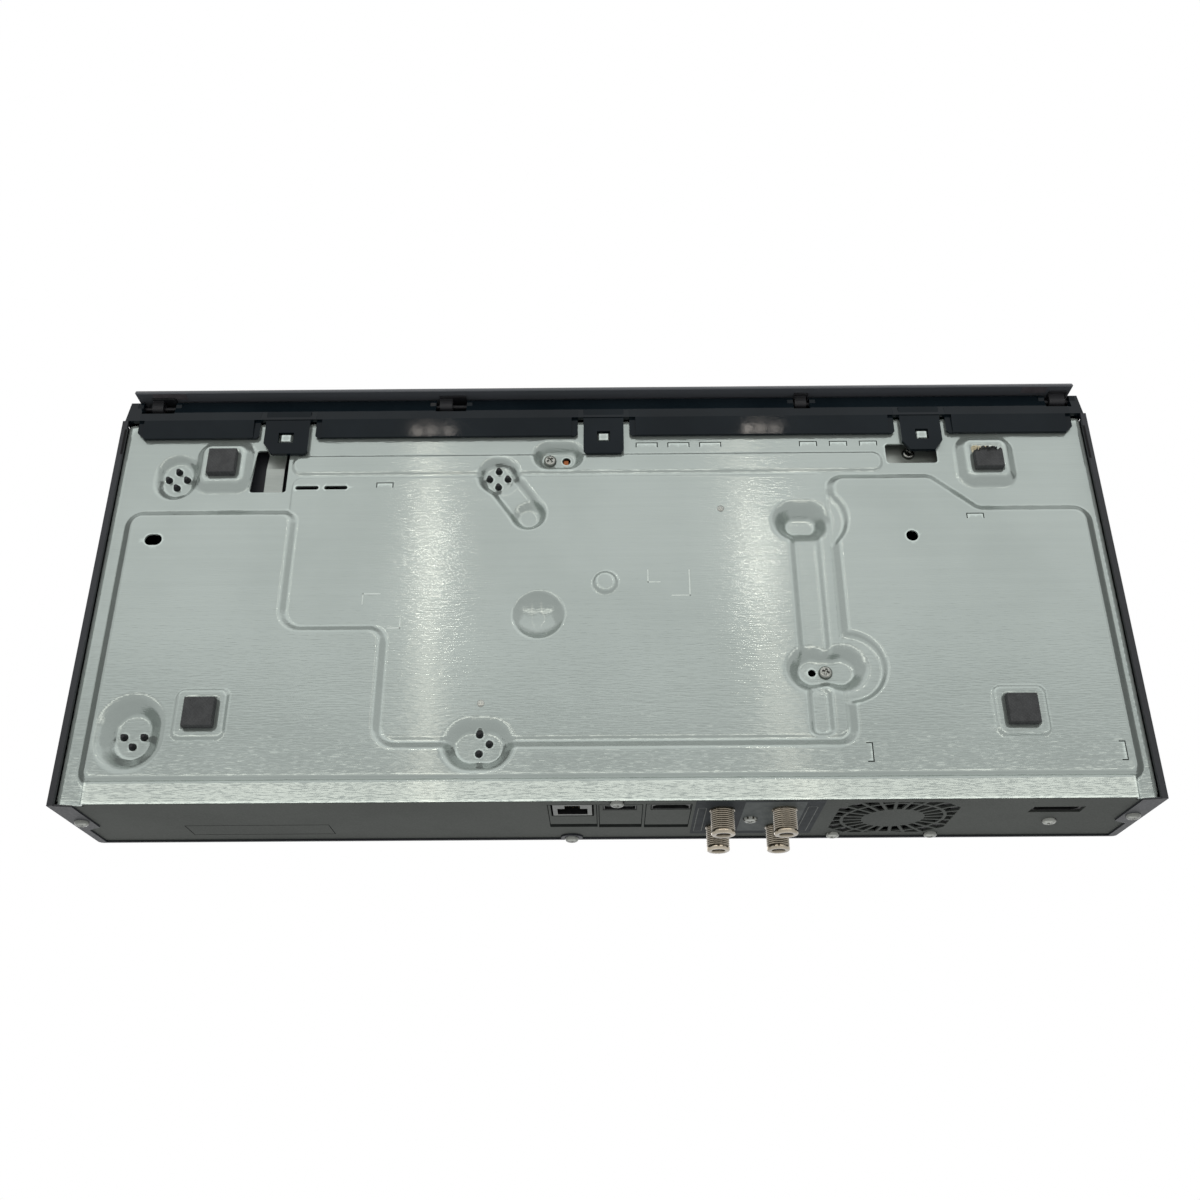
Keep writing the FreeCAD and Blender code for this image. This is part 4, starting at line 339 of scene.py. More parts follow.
def makeMaterials():
    galvanisedSteel()
    charcoalPaint()
    greyPanelPaint()
    glossBlackAbs()
    smokedAcrylic()
    hatchedRubber()
    beltRubber()
    whiteAcetal()
    solderMask()
    woundParts()
    displayGlass()
    satinBlackAbs("black_moulding", "satinBlackAbs", "#17181A", "#222326")  # even, soft sheen
    satinBlackAbs("drive_plastic", "glassFilledNylon", "#232428", "#2E3034")  # greyer, from its glass
    satinBlackAbs("tray_plastic", "greyTrayAbs", "#2E3034", "#383A3F")  # slate grey
    satinBlackAbs("chip_black", "blackEpoxy", "#1A1A1C", "#242426")  # dry black
    satinBlackAbs("inlet_black", "blackPolyamide", "#121213", "#1B1B1C")  # neutral black
    satinBlackAbs("fan_plastic", "blackPbt", "#131314", "#1C1C1D")  # neutral black
    satinBlackAbs("button_black", "blackKeyAbs", "#15161A", "#1D1F24")  # faintly blue black
    bareMetal("pin_steel", "groundSteelRod", "#A3A39F", "#BDBDB9", 0.18, 0.32, (1, 0.1, 1))  # bright, drawn
    bareMetal("bracket_steel", "zincCoatedSheet", "#858B87", "#9CA29D", 0.34, 0.48, (0.1, 1, 1), 0.7)  # dull
    bareMetal("motor_can", "nickelPlatedCan", "#A09F99", "#B9B8B1", 0.2, 0.34)  # warm and smooth
    bareMetal("drive_aluminium", "castAluminium", "#9FA1A3", "#B9BBBD", 0.34, 0.52, grainMm=0.9)  # frosty
    bareMetal("heat_sink", "anodisedFins", "#8F9295", "#A9ACAF", 0.32, 0.48, (1, 0.05, 1))  # silky
    bareMetal("jack_metal", "tinPlatedShell", "#6B6D6A", "#7E807C", 0.22, 0.38, (0.3, 1, 1))  # half bright
    thread = bareMetal("connector_nickel", "nickelPlatedBrass", "#847D70", "#9F9789", 0.1, 0.2)  # warm, shiny
    paintedShadeAndHighlight(thread, 0.44, 0.60, 0.1, 1.7)  # painted shade between the threads, painted highlight on their crests
    head = bareMetal("screw_zinc", "zincPlatedScrew", "#787A76", "#90928D", 0.16, 0.3)  # cool grey, worn
    paintedShadeAndHighlight(head, 0.38, 0.53, 0.22, 1.2)  # painted shade in the recess
    print("materials made:", len(materialOf))


# CAD nodes: their own finish and softened edges

edgeRounding = {  # in mm; a node that isn't named gets that of the others
    "others": 0.15,
    "top_cover": 0.25, "rear_panel": 0.12, "front_fascia": 0.35, "flap_door": 0.3, "flap_arms": 0.2,
    "tray": 0.3, "tray_lid": 0.3, "drive_frame": 0.25, "pickup": 0.2, "hard_disk": 0.3, "fan_frame": 0.2,
    "mains_inlet": 0.25, "rear_usb_jack": 0.08, "hdmi_jack": 0.08, "front_usb_jack": 0.08,
    "io_bracket": 0.2, "chassis_bracket": 0.2, "power_button": 0.3, "eject_button": 0.3,
}
facets = {"weldMm": 0.004, "flatDegrees": 0.4}  # points to join and faces to merge before the rounding


def finishNodes():
    slotOf = {part["node"]: part["material_slot"] for part in frame["record"]["subparts"]}
    # painted shade: the socket shells sit deep in their mouths and get darker copies of the plating
    shadowed = ownMaterial("shadeDarkenedShell", "#232424", "#303131", 0.35, 0.5, 0.5)
    dulled = ownMaterial("shadeDulledShell", "#5C5E5C", "#6A6C69", 0.35, 0.5, 0.5)
    special = {"rear_usb_jack": shadowed, "hdmi_jack": shadowed, "front_usb_jack": shadowed,
               "network_jack": dulled}
    for name, node in frame["nodes"].items():
        node.data.materials.clear()
        node.data.materials.append(special.get(name, materialOf[slotOf[name]]))
        weld = node.modifiers.new("joinedFacets", "WELD")
        weld.merge_threshold = facets["weldMm"] * mm
        flat = node.modifiers.new("flatFaces", "DECIMATE")
        flat.decimate_type = "DISSOLVE"
        flat.angle_limit = math.radians(facets["flatDegrees"])
        softenEdges(node, edgeRounding.get(name, edgeRounding["others"]))
    print("nodes finished:", len(frame["nodes"]))


# Bottom plate: a pressed sheet as one smooth surface, its holes cut along true outlines

plate = {
    # height of the plate's lower face on each of its parts
    "border": 7.0, "field": 4.0, "centre": 6.5, "bead": 6.2, "boss": 3.0, "padSeat": 3.6, "tab": 5.0,
    "dimple": 4.9, "groove": 8.2, "pear": 9.4, "recess": 10.2, "lobe": 11.3, "pearEnd": 11.5, "pocket": 12.0,
    "dish": 13.5, "rearBand": 4.4, "bandTilt": 0.8, "bandRun": 9.0,
    # width of the sloping wall of each kind of mark
    "fieldWall": 4.5, "edgeWall": 1.4, "beadWall": 1.5, "bandWall": 1.2, "ringWall": 2.6,
    "bendShare": 0.17, "drawRim": 0.45, "drawFloor": 0.08,  # part of a wall that is bend
    "dentCap": 10.9, "dentFloor": 10.7, "dentBowl": 15.6,  # a shallow bowl with a flat middle
    "sheet": 1.0, "edgeBend": 0.9, "sideFold": 14.5, "frontFold": 5.3,
    "foldGap": 1.0, "foldRearGap": 1.8,  # the folds stop short of the corners
    "fineMm": 0.65, "coarseEvery": 5,  # point spacing on the slopes; the flats keep one point in so many
    "steepRise": 0.004, "steepSpread": 2, "rimMm": 1.3, "clearMm": 0.3,
    "rivetRadius": 1.5, "rivets": [(50.3, -39.3), (-49.9, 49.8)],
    "rivetProfile": [(1.0, -0.3), (1.0, 0.12), (0.8, 0.34), (0.5, 0.46), (0.18, 0.5)],  # radius share, drop
}


def fromDrive(x, y):
    # a place measured from the middle of the disc drive and from the front of the case
    return driveX + x, caseFront + y


def fromLeft(x, y):
    return leftWall + x, caseFront + y


def fromRight(x, y):
    return rightWall - x, caseFront + y


driveMounts = {  # prongs' centre, recess centre, wide and narrow sizes of the recess
    "frontLeft": (fromDrive(-70.5, 27.7), fromDrive(-70.3, 27.9), (20.3, 23.0), (12.2, 17.3)),
    "frontCentre": (fromDrive(71.2, 28.5), fromDrive(71.2, 28.5), (20.0, 20.0), (12.0, 12.0)),
    "rearLeft": (fromDrive(-70.5, 147.4), fromDrive(-70.5, 147.5), (28.5, 33.0), (12.8, 18.5)),
    "rearCentre": (fromDrive(67.3, 151.2), fromDrive(67.3, 152.9), (30.7, 23.5), (18.2, 12.9)),
}
prongs = {
    "frontLeft": ((0, -4), (-4, 0), (4, 0), (0, 4)), "frontCentre": ((0, -4), (-4, 0), (4, 0), (0, 4)),
    "rearLeft": ((-4, 0), (4, 0), (0, 4)), "rearCentre": ((0, -4), (0, 4), (4, 0)),
}
footPlaces = {
    "frontLeft": fromLeft(48.2, 23.4), "frontRight": fromRight(47.4, 23.4),
    "rearLeft": (leftWall + 54.2, caseRear - 37.0), "rearRight": (rightWall - 50.6, caseRear - 36.2),
}
footBosses = {"front": (17.5, 2.15), "rear": (20.3, 0.8)}  # side of the flat and width of the rim
seatSize = (13.4, 13.4)
dish = fromRight(130.2, 52.4)
lobe = fromRight(125.0, 121.3)
pocket = (-20.0, caseFront + 18.2)
dent = (-27.5, caseFront + 96.1)
dimple = (0.3, caseFront + 81.6)
pearLow = fromDrive(84.8, 47.9)
tabSeats = [fromDrive(-23.6, 9.3), (0, caseFront + 9.8), fromRight(74, 9.9)]
cutoutLeft = [fromDrive(-37.4, 36), fromDrive(-36, 14.5), fromDrive(-21.5, 14.5), fromDrive(-21.5, 36)]
cutoutRight = [fromRight(90.5, 13.5), fromRight(68, 13.5), fromRight(68, 23.5), fromRight(90.5, 23.5)]


def roundCorners(points, radius, steps=6):
    # closed loop through the corners, each rounded by an arc
    radii = radius if isinstance(radius, list) else [radius] * len(points)
    loop = []
    for i, corner in enumerate(points):
        here = Vector(corner)
        back = (Vector(points[i - 1]) - here).normalized()
        ahead = (Vector(points[(i + 1) % len(points)]) - here).normalized()
        half = back.angle(ahead) / 2
        reach = radii[i] / math.tan(half)
        middle = here + (back + ahead).normalized() * (radii[i] / math.sin(half))
        start, end = here + back * reach - middle, here + ahead * reach - middle
        turn = start.angle_signed(end)
        for step in range(steps + 1):
            a = -turn * step / steps
            loop.append((middle.x + start.x * math.cos(a) - start.y * math.sin(a),
                         middle.y + start.x * math.sin(a) + start.y * math.cos(a)))
    return loop


def loopDistance(x, y, loop):
    # signed distance to a closed loop, negative inside
    nearest = np.full(x.shape, 1e9)
    inside = np.zeros(x.shape, bool)
    for (ax, ay), (bx, by) in zip(loop, loop[1:] + loop[:1]):
        dx, dy = bx - ax, by - ay
        along = np.clip(((x - ax) * dx + (y - ay) * dy) / max(dx * dx + dy * dy, 1e-12), 0, 1)
        nearest = np.minimum(nearest, np.hypot(x - ax - along * dx, y - ay - along * dy))
        crosses = (ay > y) != (by > y)
        inside ^= crosses & (x < ax + (y - ay) * dx / (dy if dy else 1e-12))
    return np.where(inside, -nearest, nearest)


def blockDistance(x, y, centre, size, radius):
    # signed distance to a rectangle with round corners
    px = np.abs(x - centre[0]) - size[0] / 2 + radius
    py = np.abs(y - centre[1]) - size[1] / 2 + radius
    return np.hypot(np.maximum(px, 0), np.maximum(py, 0)) + np.minimum(np.maximum(px, py), 0) - radius


def capsuleDistance(x, y, start, end):
    dx, dy = end[0] - start[0], end[1] - start[1]
    along = np.clip(((x - start[0]) * dx + (y - start[1]) * dy) / (dx * dx + dy * dy), 0, 1)
    return np.hypot(x - start[0] - along * dx, y - start[1] - along * dy)


def slope(distance, width, outer=None, inner=None):
    # 0 outside and 1 inside: a straight pressed wall with a bend at its rim and one at its foot
    outer = outer or plate["bendShare"]
    inner = inner or plate["bendShare"]
    t = np.clip(0.5 - distance / width, 0, 1)
    rise = 1 / (1 - outer / 2 - inner / 2)
    wall = np.where(t < outer, rise * t * t / (2 * outer), rise * (t - outer / 2))
    return np.where(t > 1 - inner, 1 - rise * (1 - t) ** 2 / (2 * inner), wall)


def fieldLoop():
    # outline of the lowest level: it steps round the drive and round the dish and lobe
    rear = caseRear - 9.4
    points = [fromLeft(10.5, 47.0), fromDrive(-15.8, 47.0), fromDrive(-15.8, 101.9), fromDrive(26.9, 101.9),
              fromDrive(26.9, 152.9), fromRight(117.0, 152.9), fromRight(117.0, 31.2), fromRight(73.2, 31.2),
              fromRight(54.1, 47.5), fromRight(7.7, 47.5), (rightWall - 7.7, rear), (leftWall + 10.5, rear)]
    return roundCorners(points, [6, 5, 8, 6.5, 8, 6, 6, 6, 6, 6, 5, 5])


def pressDown(z, distance, level, width):
    return np.minimum(z, plate["border"] + (level - plate["border"]) * slope(distance, width))


def pressUp(z, distance, level, width):
    return z + np.maximum(level - z, 0) * slope(distance, width)


def drawIn(z, distance, level, width):
    # deep-drawn recess: a wide bend where the sheet flows in, a tight one round the floor
    return z + np.maximum(level - z, 0) * slope(distance, width, plate["drawRim"], plate["drawFloor"])


def block(centre, size, corner):
    return lambda x, y: blockDistance(x, y, centre, size, corner)


def panel(low, high, corner):
    # a block between two opposite corners
    centre = ((low[0] + high[0]) / 2, (low[1] + high[1]) / 2)
    return block(centre, (high[0] - low[0], high[1] - low[1]), corner)


def disc(centre, radius):
    return lambda x, y: np.hypot(x - centre[0], y - centre[1]) - radius


def trough(start, end, radius):
    return lambda x, y: capsuleDistance(x, y, start, end) - radius


def pressMarks():
    # every mark in the order it is struck: way of pressing, outline, level of its floor, width of its wall
    channel = panel((rightWall - 134.9, dish[1]), (rightWall - 123.9, lobe[1]), 1.8)
    strip = panel((rightWall - 133, lobe[1] + 8), (rightWall - 125, lobe[1] + 28), 3.0)
    marks = [
        # the raised centre, the long front bead, the rings beside dish and lobe, and a small dimple
        (pressDown, panel(fromDrive(-18.7, 29), fromRight(119, 150), 4), plate["centre"], plate["edgeWall"]),
        (pressDown, panel(fromDrive(-19.4, 18), fromRight(92.8, 27), 4), plate["bead"], plate["beadWall"]),
        (pressUp, disc((rightWall - 126.6, dish[1]), 15.1), plate["centre"], plate["ringWall"]),
        (pressUp, disc((rightWall - 117.0, lobe[1]), 14.9), plate["centre"], plate["ringWall"]),
        (pressDown, disc(dimple, 4.9), plate["dimple"], 2.4),
    ]
    for place, foot in footPlaces.items():
        side, rim = footBosses["front" if place.startswith("front") else "rear"]
        whole = (side + 2 * rim, side + 2 * rim)
        marks.append((pressDown, block(foot, whole, 3 + rim), plate["boss"], 2 * rim + 0.6))
        marks.append((pressUp, block(foot, seatSize, 1.0), plate["padSeat"], 0.9))
    marks += [(pressDown, block(tab, (5.2, 4.4), 0.5), plate["tab"], 0.9) for tab in tabSeats]
    marks += [
        # the channel from dish to lobe and its strip, the lobe with two round ends, the dish, the pear
        (pressUp, channel, plate["groove"], 3.0),
        (pressUp, strip, plate["groove"], 2.8),
        (drawIn, block(lobe, (15.8, 11.8), 2.0), plate["lobe"], 3.6),
        (drawIn, disc((rightWall - 131.4, lobe[1]), 7.9), plate["lobe"], 6.8),
        (drawIn, disc((rightWall - 118.8, lobe[1]), 7.9), plate["lobe"], 6.8),
        (drawIn, block(dish, (19.4, 14.0), 6.8), plate["dish"], 7.8),
        (drawIn, trough(driveMounts["frontCentre"][1], pearLow, 6.6), plate["pear"], 3.6),
        (drawIn, disc(pearLow, 6.0), plate["pearEnd"], 4.6),
    ]
    for _, centre, wide, narrow in driveMounts.values():
        size = ((wide[0] + narrow[0]) / 2, (wide[1] + narrow[1]) / 2)
        run = (wide[0] - narrow[0] + wide[1] - narrow[1]) / 4
        marks.append((drawIn, block(centre, size, min(size) / 2 - 0.1), plate["recess"], run + 0.6))
    marks.append((drawIn, block(pocket, (19.5, 11.6), 5.7), plate["pocket"], 5.0))
    return marks


def plateHeight(x, y):
    # lower face of the pressed plate at each point
    z = np.full(x.shape, plate["border"])
    z = pressDown(z, loopDistance(x, y, fieldLoop()), plate["field"], plate["fieldWall"])
    band = panel((leftWall + 12, caseRear - 9.9), (rightWall - 10, caseRear + 1.1), 0.3)
    rise = plate["rearBand"] + plate["bandTilt"] * np.clip((y - caseRear + 10) / plate["bandRun"], 0, 1)
    z = pressDown(z, band(x, y), rise, plate["bandWall"])
    for press, outline, level, wall in pressMarks():
        z = press(z, outline(x, y), level, wall)
    bowl = plate["dentBowl"]
    depth = np.sqrt(np.maximum(bowl ** 2 - (x - dent[0]) ** 2 - (y - dent[1]) ** 2, 0)) - bowl
    return np.maximum(z, np.minimum(plate["dentCap"] + depth, plate["dentFloor"]))


def threeSidedCut(centre, width, depth, turned=False, cut=0.45):
    # thin cut round three sides of a tongue
    w, d = width / 2, depth / 2
    loop = [(-w, -d), (w, -d), (w, d), (w - cut, d),
            (w - cut, -d + cut), (-w + cut, -d + cut), (-w + cut, d), (-w, d)]
    if turned:
        loop = [(-b, a) for a, b in loop]
    return [(centre[0] + a, centre[1] + b) for a, b in loop]


def barLoop(centre, width, height):
    x, y = width / 2, height / 2
    corners = [(centre[0] - x, centre[1] - y), (centre[0] + x, centre[1] - y),
               (centre[0] + x, centre[1] + y), (centre[0] - x, centre[1] + y)]
    return roundCorners(corners, min(x, y) - 0.01, 8)


def roundLoop(centre, radius):
    return [point[:2] for point in ring(28, radius, centre, 0)]


def plateHoles():
    holes = [roundCorners(cutoutLeft[::-1], 1.0, 3), roundCorners(cutoutRight, 1.5, 4)]
    for name, (prong, _, _, _) in driveMounts.items():
        holes += [roundLoop((prong[0] + dx, prong[1] + dy), 1.6) for dx, dy in prongs[name]]
    holes.append(barLoop(fromLeft(23, 60.7), 7.4, 5.3))
    holes += [barLoop(fromDrive(x, 34.1), 10.2, 1.9) for x in (-12.2, 0.4)]
    holes.append(roundLoop(fromRight(84.4, 61.5), 2.55))
    drilled = [(pocket, -3.9, 1.6), (pocket, 3.4, 1.9), (lobe, -0.2, 1.6), (lobe, -5.7, 1.6)]
    holes += [roundLoop((centre[0] + shift, centre[1]), radius) for centre, shift, radius in drilled]
    tongues = [(fromDrive(21.8, 33), 7.5), (fromRight(56.4, 52), 7.5)]
    tongues += [((x, caseFront + 13), 9.8) for x in (19.1, 33.2, 47.3)]
    tongues += [(fromRight(x, 13), 8) for x in (124.3, 111, 97.7)]
    holes += [threeSidedCut(place, width, 2.6) for place, width in tongues]
    holes += [threeSidedCut(fromRight(x, 157.6), 8, 2.6, turned=True) for x in (111.9, 13.4)]
    return holes


def plateLattice(low, high, holes):
    # close points on the pressed slopes, wide ones on the flats, none on a hole's edge
    step = plate["fineMm"]
    columns = np.linspace(low[0], high[0], int((high[0] - low[0]) / step) + 1)
    rows = np.linspace(low[1], high[1], int((high[1] - low[1]) / step) + 1)
    x, y = np.meshgrid(columns, rows, indexing="ij")
    z = plateHeight(x, y)
    steep = np.hypot(*np.gradient(z)) > plate["steepRise"]
    for _ in range(plate["steepSpread"]):
        spread = steep.copy()
        spread[1:] |= steep[:-1]
        spread[:-1] |= steep[1:]
        spread[:, 1:] |= steep[:, :-1]
        spread[:, :-1] |= steep[:, 1:]
        steep = spread
    every = plate["coarseEvery"]
    wide = np.zeros(x.shape, bool)
    wide[::every, ::every] = True
    for edge in (0, 1, -2, -1):
        wide[edge, ::every] = True
        wide[::every, edge] = True
    wide[[0, 0, -1, -1], [0, -1, 0, -1]] = True
    keep = steep | wide
    for hole in holes:
        away = loopDistance(x, y, hole)
        keep |= away < plate["rimMm"]
        keep &= away > plate["clearMm"]
    return np.column_stack([x[keep], y[keep]])


def pressedPlate():
    inset = plate["edgeBend"]
    low = (plateLow.x + inset, plateLow.y + inset)
    high = (plateHigh.x - inset, plateHigh.y)
    holes = plateHoles()
    lattice = plateLattice(low, high, holes)
    points = [Vector(point) for point in lattice]
    edges = []
    for hole in holes:
        first = len(points)
        points += [Vector(point) for point in hole]
        edges += [(first + i, first + (i + 1) % len(hole)) for i in range(len(hole))]
    flat, _, faces, *_ = delaunay_2d_cdt(points, edges, [], 0, 1e-6)
    flat = np.array([tuple(point) for point in flat])
    faces = np.array([tuple(face) for face in faces])
    middle = flat[faces].mean(axis=1)
    gone = np.zeros(len(faces), bool)
    for hole in holes:
        gone |= loopDistance(middle[:, 0], middle[:, 1], hole) < 0
    faces = faces[~gone]
    heights = plateHeight(flat[:, 0], flat[:, 1])
    vertices = np.column_stack([flat, heights])
    used = np.unique(faces)
    renumber = np.zeros(len(vertices), int)
    renumber[used] = np.arange(len(used))
    vertices, faces = vertices[used], renumber[faces]
    turned = [tuple(face[::-1]) for face in faces.tolist()]
    piece = addPiece("pressedPlate", vertices.tolist(), turned, "case", "galvanised_steel")
    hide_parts("bottom_plate")
    thick = piece.modifiers.new("sheetThickness", "SOLIDIFY")
    thick.thickness = plate["sheet"] * mm
    thick.offset = -1
    thick.use_rim = True
    shadeSmooth(piece, 50)
    sharpenRims(piece)
    plateFolds(low, high)
    print("pressed plate:", len(vertices), "points,", len(faces), "faces,", len(holes), "holes")


def sharpenRims(piece):
    # open edges stay crisp once the sheet gets its thickness
    mesh = piece.data
    edgeOfCorner = np.zeros(len(mesh.loops), np.int32)
    mesh.loops.foreach_get("edge_index", edgeOfCorner)
    uses = np.bincount(edgeOfCorner, minlength=len(mesh.edges))
    sharp = np.zeros(len(mesh.edges), bool)
    mesh.edges.foreach_get("use_edge_sharp", sharp)
    mesh.edges.foreach_set("use_edge_sharp", sharp | (uses == 1))


def plateFolds(low, high):
    # the turned-up sides and front edge of the plate
    bend, sheet, border, gap = plate["edgeBend"], plate["sheet"], plate["border"], plate["foldGap"]
    arc = [(bend * math.sin(a), bend - bend * math.cos(a)) for a in np.linspace(0, math.pi / 2, 7)]

    def profile(height):
        outer = [(d, border + h) for d, h in arc] + [(bend, border + height)]
        inner = [(bend - sheet, border + height), (bend - sheet, border + sheet), (0, border + sheet)]
        return outer + inner

    for name, edge, sign in (("plateFoldLeft", low[0], -1), ("plateFoldRight", high[0], 1)):
        loop = [(edge + sign * d, h) for d, h in profile(plate["sideFold"])]
        rows = [[(x, y, z) for x, z in loop] for y in (low[1] + gap, high[1] - plate["foldRearGap"])]
        sweepLoops(name, rows, "galvanised_steel")
    loop = [(low[1] - d, h) for d, h in profile(plate["frontFold"])]
    rows = [[(x, y, z) for y, z in loop] for x in (low[0] + gap, high[0] - gap)]
    sweepLoops("plateFoldFront", rows, "galvanised_steel")


def sweepLoops(name, rows, slotName):
    # closed skin over a row of equal loops, with both ends capped
    count = len(rows[0])
    vertices = [point for row in rows for point in row]
    faces = []
    for i in range(len(rows) - 1):
        faces += bridgeRings(i * count, (i + 1) * count, count)
    faces += [tuple(range(count))[::-1], tuple(range((len(rows) - 1) * count, len(rows) * count))]
    piece = addPiece(name, vertices, faces, "case", slotName)
    piece.data.validate()
    shadeSmooth(piece, 40)


def plateRivets():
    vertices, faces, n = [], [], 20
    for centre in plate["rivets"]:
        first = len(vertices)
        base = float(plateHeight(np.array([centre[0]]), np.array([centre[1]]))[0])
        for share, drop in plate["rivetProfile"]:
            vertices += ring(n, plate["rivetRadius"] * share, centre, base - drop)
        closeRings(first, vertices, n, faces)
    shadeSmooth(addPiece("plateRivets", vertices, faces, "case", "screw_zinc"), 50)


# Feet: square rubber pads with a cross-hatched tread; one is torn along its front edge

pad = {"side": 12.0, "grid": 44, "edge": 0.3, "edgeFall": 1.6, "seed": 5,
       "hatchMm": 1.1, "hatchDepth": 0.14, "hatchRidge": 0.3,
       "tornPlace": "frontRight", "tornDepth": 3.3, "raggedMm": 0.9, "raggedRows": 4}


def padHeight(u, v):
    # depth of the tread and of the rounded rim at a point of the pad
    a, b = (u + v) / pad["hatchMm"] / math.sqrt(2), (u - v) / pad["hatchMm"] / math.sqrt(2)
    groove = max(abs(a - round(a)), abs(b - round(b)))
    tread = pad["hatchDepth"] * max(0.0, (groove - pad["hatchRidge"]) / (0.5 - pad["hatchRidge"]))
    half = pad["side"] / 2
    rim = max(0.0, pad["edge"] - (half - max(abs(u), abs(v)))) ** 2 * pad["edgeFall"]
    return tread + rim


def rubberFeet():
    chance = random.Random(pad["seed"])
    vertices, faces = [], []
    n = pad["grid"]
    top = plate["padSeat"]
    for place, (cx, cy) in footPlaces.items():
        torn = place == pad["tornPlace"]
        first = len(vertices)
        for i in range(n + 1):
            rear = pad["side"] / 2
            front = -rear
            if torn:
                front += pad["tornDepth"] + pad["raggedMm"] * chance.uniform(-1, 1)
            for j in range(n + 1):
                u, v = (i / n - 0.5) * pad["side"], front + (rear - front) * j / n
                ragged = chance.uniform(0, pad["raggedMm"]) if torn and j < pad["raggedRows"] else 0.0
                vertices.append((cx + u, cy + v, padHeight(u, v) + ragged))
        for i in range(n):
            for j in range(n):
                a = first + i * (n + 1) + j
                faces.append((a, a + 1, a + n + 2, a + n + 1))
        border = [first + i * (n + 1) for i in range(n)]
        border += [first + n * (n + 1) + j for j in range(n)]
        border += [first + i * (n + 1) + n for i in range(n, 0, -1)]
        border += [first + j for j in range(n, 0, -1)]
        upper = len(vertices)
        vertices += [(vertices[k][0], vertices[k][1], top) for k in border]
        count = len(border)
        for k in range(count):
            after = (k + 1) % count
            faces.append((border[k], border[after], upper + after, upper + k))
        faces.append(tuple(range(upper, upper + count)))
    piece = addPiece("rubberFeet", vertices, faces, "case", "rubber_pad")
    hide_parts("foot_pads")
    shadeSmooth(piece, 60)
    tornResidue(chance)


residue = {  # uneven lumps that stay on the seat where the pad tore
    "sides": 7, "uneven": 0.2, "profile": [(1.0, 0.0), (0.8, 0.6), (0.3, 1.0)],  # share of width, of height
    "piles": {  # count, two corners of the field from the foot's middle, half width and height from and to
        "padAdhesive": (90, (-5.9, -6.2), (0.8, -3.0), (0.25, 0.75), (0.15, 0.5)),
        "padShreds": (34, (-1.8, -5.6), (4.4, -2.6), (0.3, 0.9), (0.4, 2.2)),
    },
}


def crumb(place, size, tall, chance, vertices, faces):
    # one uneven lump standing on the pad's seat
    first, sides, wander = len(vertices), residue["sides"], residue["uneven"] * size
    turn = chance.uniform(0, 3)
    for share, drop in residue["profile"]:
        for x, y, _ in ring(sides, size * share, place, 0, turn):
            vertices.append((x + chance.uniform(-wander, wander), y + chance.uniform(-wander, wander),
                             plate["padSeat"] - tall * drop))
    closeRings(first, vertices, sides, faces)


def tornResidue(chance):
    # dried adhesive and shreds of rubber
    cx, cy = footPlaces[pad["tornPlace"]]
    special = {"padAdhesive": ownMaterial("driedAdhesive", "#A89F80", "#D6CFB8", 0.5, 0.8)}
    for name, (count, low, high, size, tall) in residue["piles"].items():
        vertices, faces = [], []
        for _ in range(count):
            place = (cx + chance.uniform(low[0], high[0]), cy + chance.uniform(low[1], high[1]))
            crumb(place, chance.uniform(*size), chance.uniform(*tall), chance, vertices, faces)
        shadeSmooth(addPiece(name, vertices, faces, "case", "rubber_pad", special.get(name)), 50)


# Aerial connectors: threaded nickel-plated barrels with a plain collar at the root and a dark insulated mouth

connector = {
    "radius": 4.7, "threadMm": 0.8, "threadDepth": 0.34, "threadCurve": 1.4, "segments": 48, "rowsPerTurn": 8,
    "x": (45.6, 70.1), "z": (18.0, 42.5), "mouth": 2.7, "pinHole": 0.55,
    # outline of the barrel: radius over the thread's or the mouth's, and way from the root or from the tip
    "root": [(0.3, 0.0), (0.3, 0.5), (-0.3, 0.6)], "threadFrom": 0.7, "threadTo": 1.7,
    "tip": [(-0.3, 1.6), (0.0, 1.45), (0.0, 0.5), (-0.2, 0.15), (-0.5, 0.0)],
    "bore": [(0.5, 0.0), (0.15, 0.12), (0.0, 0.4), (0.0, 2.6)],
    # outline of the insulator: radius, and way back from its face
    "coreDeep": 1.1, "core": [(2.62, 1.2), (2.62, 0.0), (1.5, -0.15)],
    "coreHole": [(0.25, -0.15), (0.0, 0.1), (0.0, 1.0)], "coreSegments": 24,
}


def threadedBarrel(cx, cz, vertices, faces):
    n, pitch, radius = connector["segments"], connector["threadMm"], connector["radius"]
    start, tip = panelFace + 0.1, rearTip
    stations = [(radius + more, start + way, 0) for more, way in connector["root"]]
    threadStart = start + connector["threadFrom"]
    rows = round((tip - connector["threadTo"] - threadStart) / pitch * connector["rowsPerTurn"])
    stations += [(radius, threadStart + row * pitch / connector["rowsPerTurn"], 1) for row in range(rows)]
    stations += [(radius + more, tip - way, 0) for more, way in connector["tip"]]
    stations += [(connector["mouth"] + more, tip - way, 0) for more, way in connector["bore"]]
    first = len(vertices)
    for wide, y, threaded in stations:
        for i in range(n):
            a = 2 * math.pi * i / n
            phase = (y / pitch - i / n) % 1
            cut = threaded * connector["threadDepth"] * (2 * abs(phase - 0.5)) ** connector["threadCurve"]
            vertices.append((cx + (wide - cut) * math.cos(a), y, cz + (wide - cut) * math.sin(a)))
    closeRings(first, vertices, n, faces)


def insulatorCore(cx, cz, vertices, faces):
    # moulded insulator deep in the mouth, with the small spring hole for the plug's wire
    first, n = len(vertices), connector["coreSegments"]
    outline = connector["core"] + [(connector["pinHole"] + more, way) for more, way in connector["coreHole"]]
    for radius, way in outline:
        y = rearTip - connector["coreDeep"] - way
        vertices += [(x, y, z) for x, z, _ in ring(n, radius, (cx, cz), 0)]
    closeRings(first, vertices, n, faces)


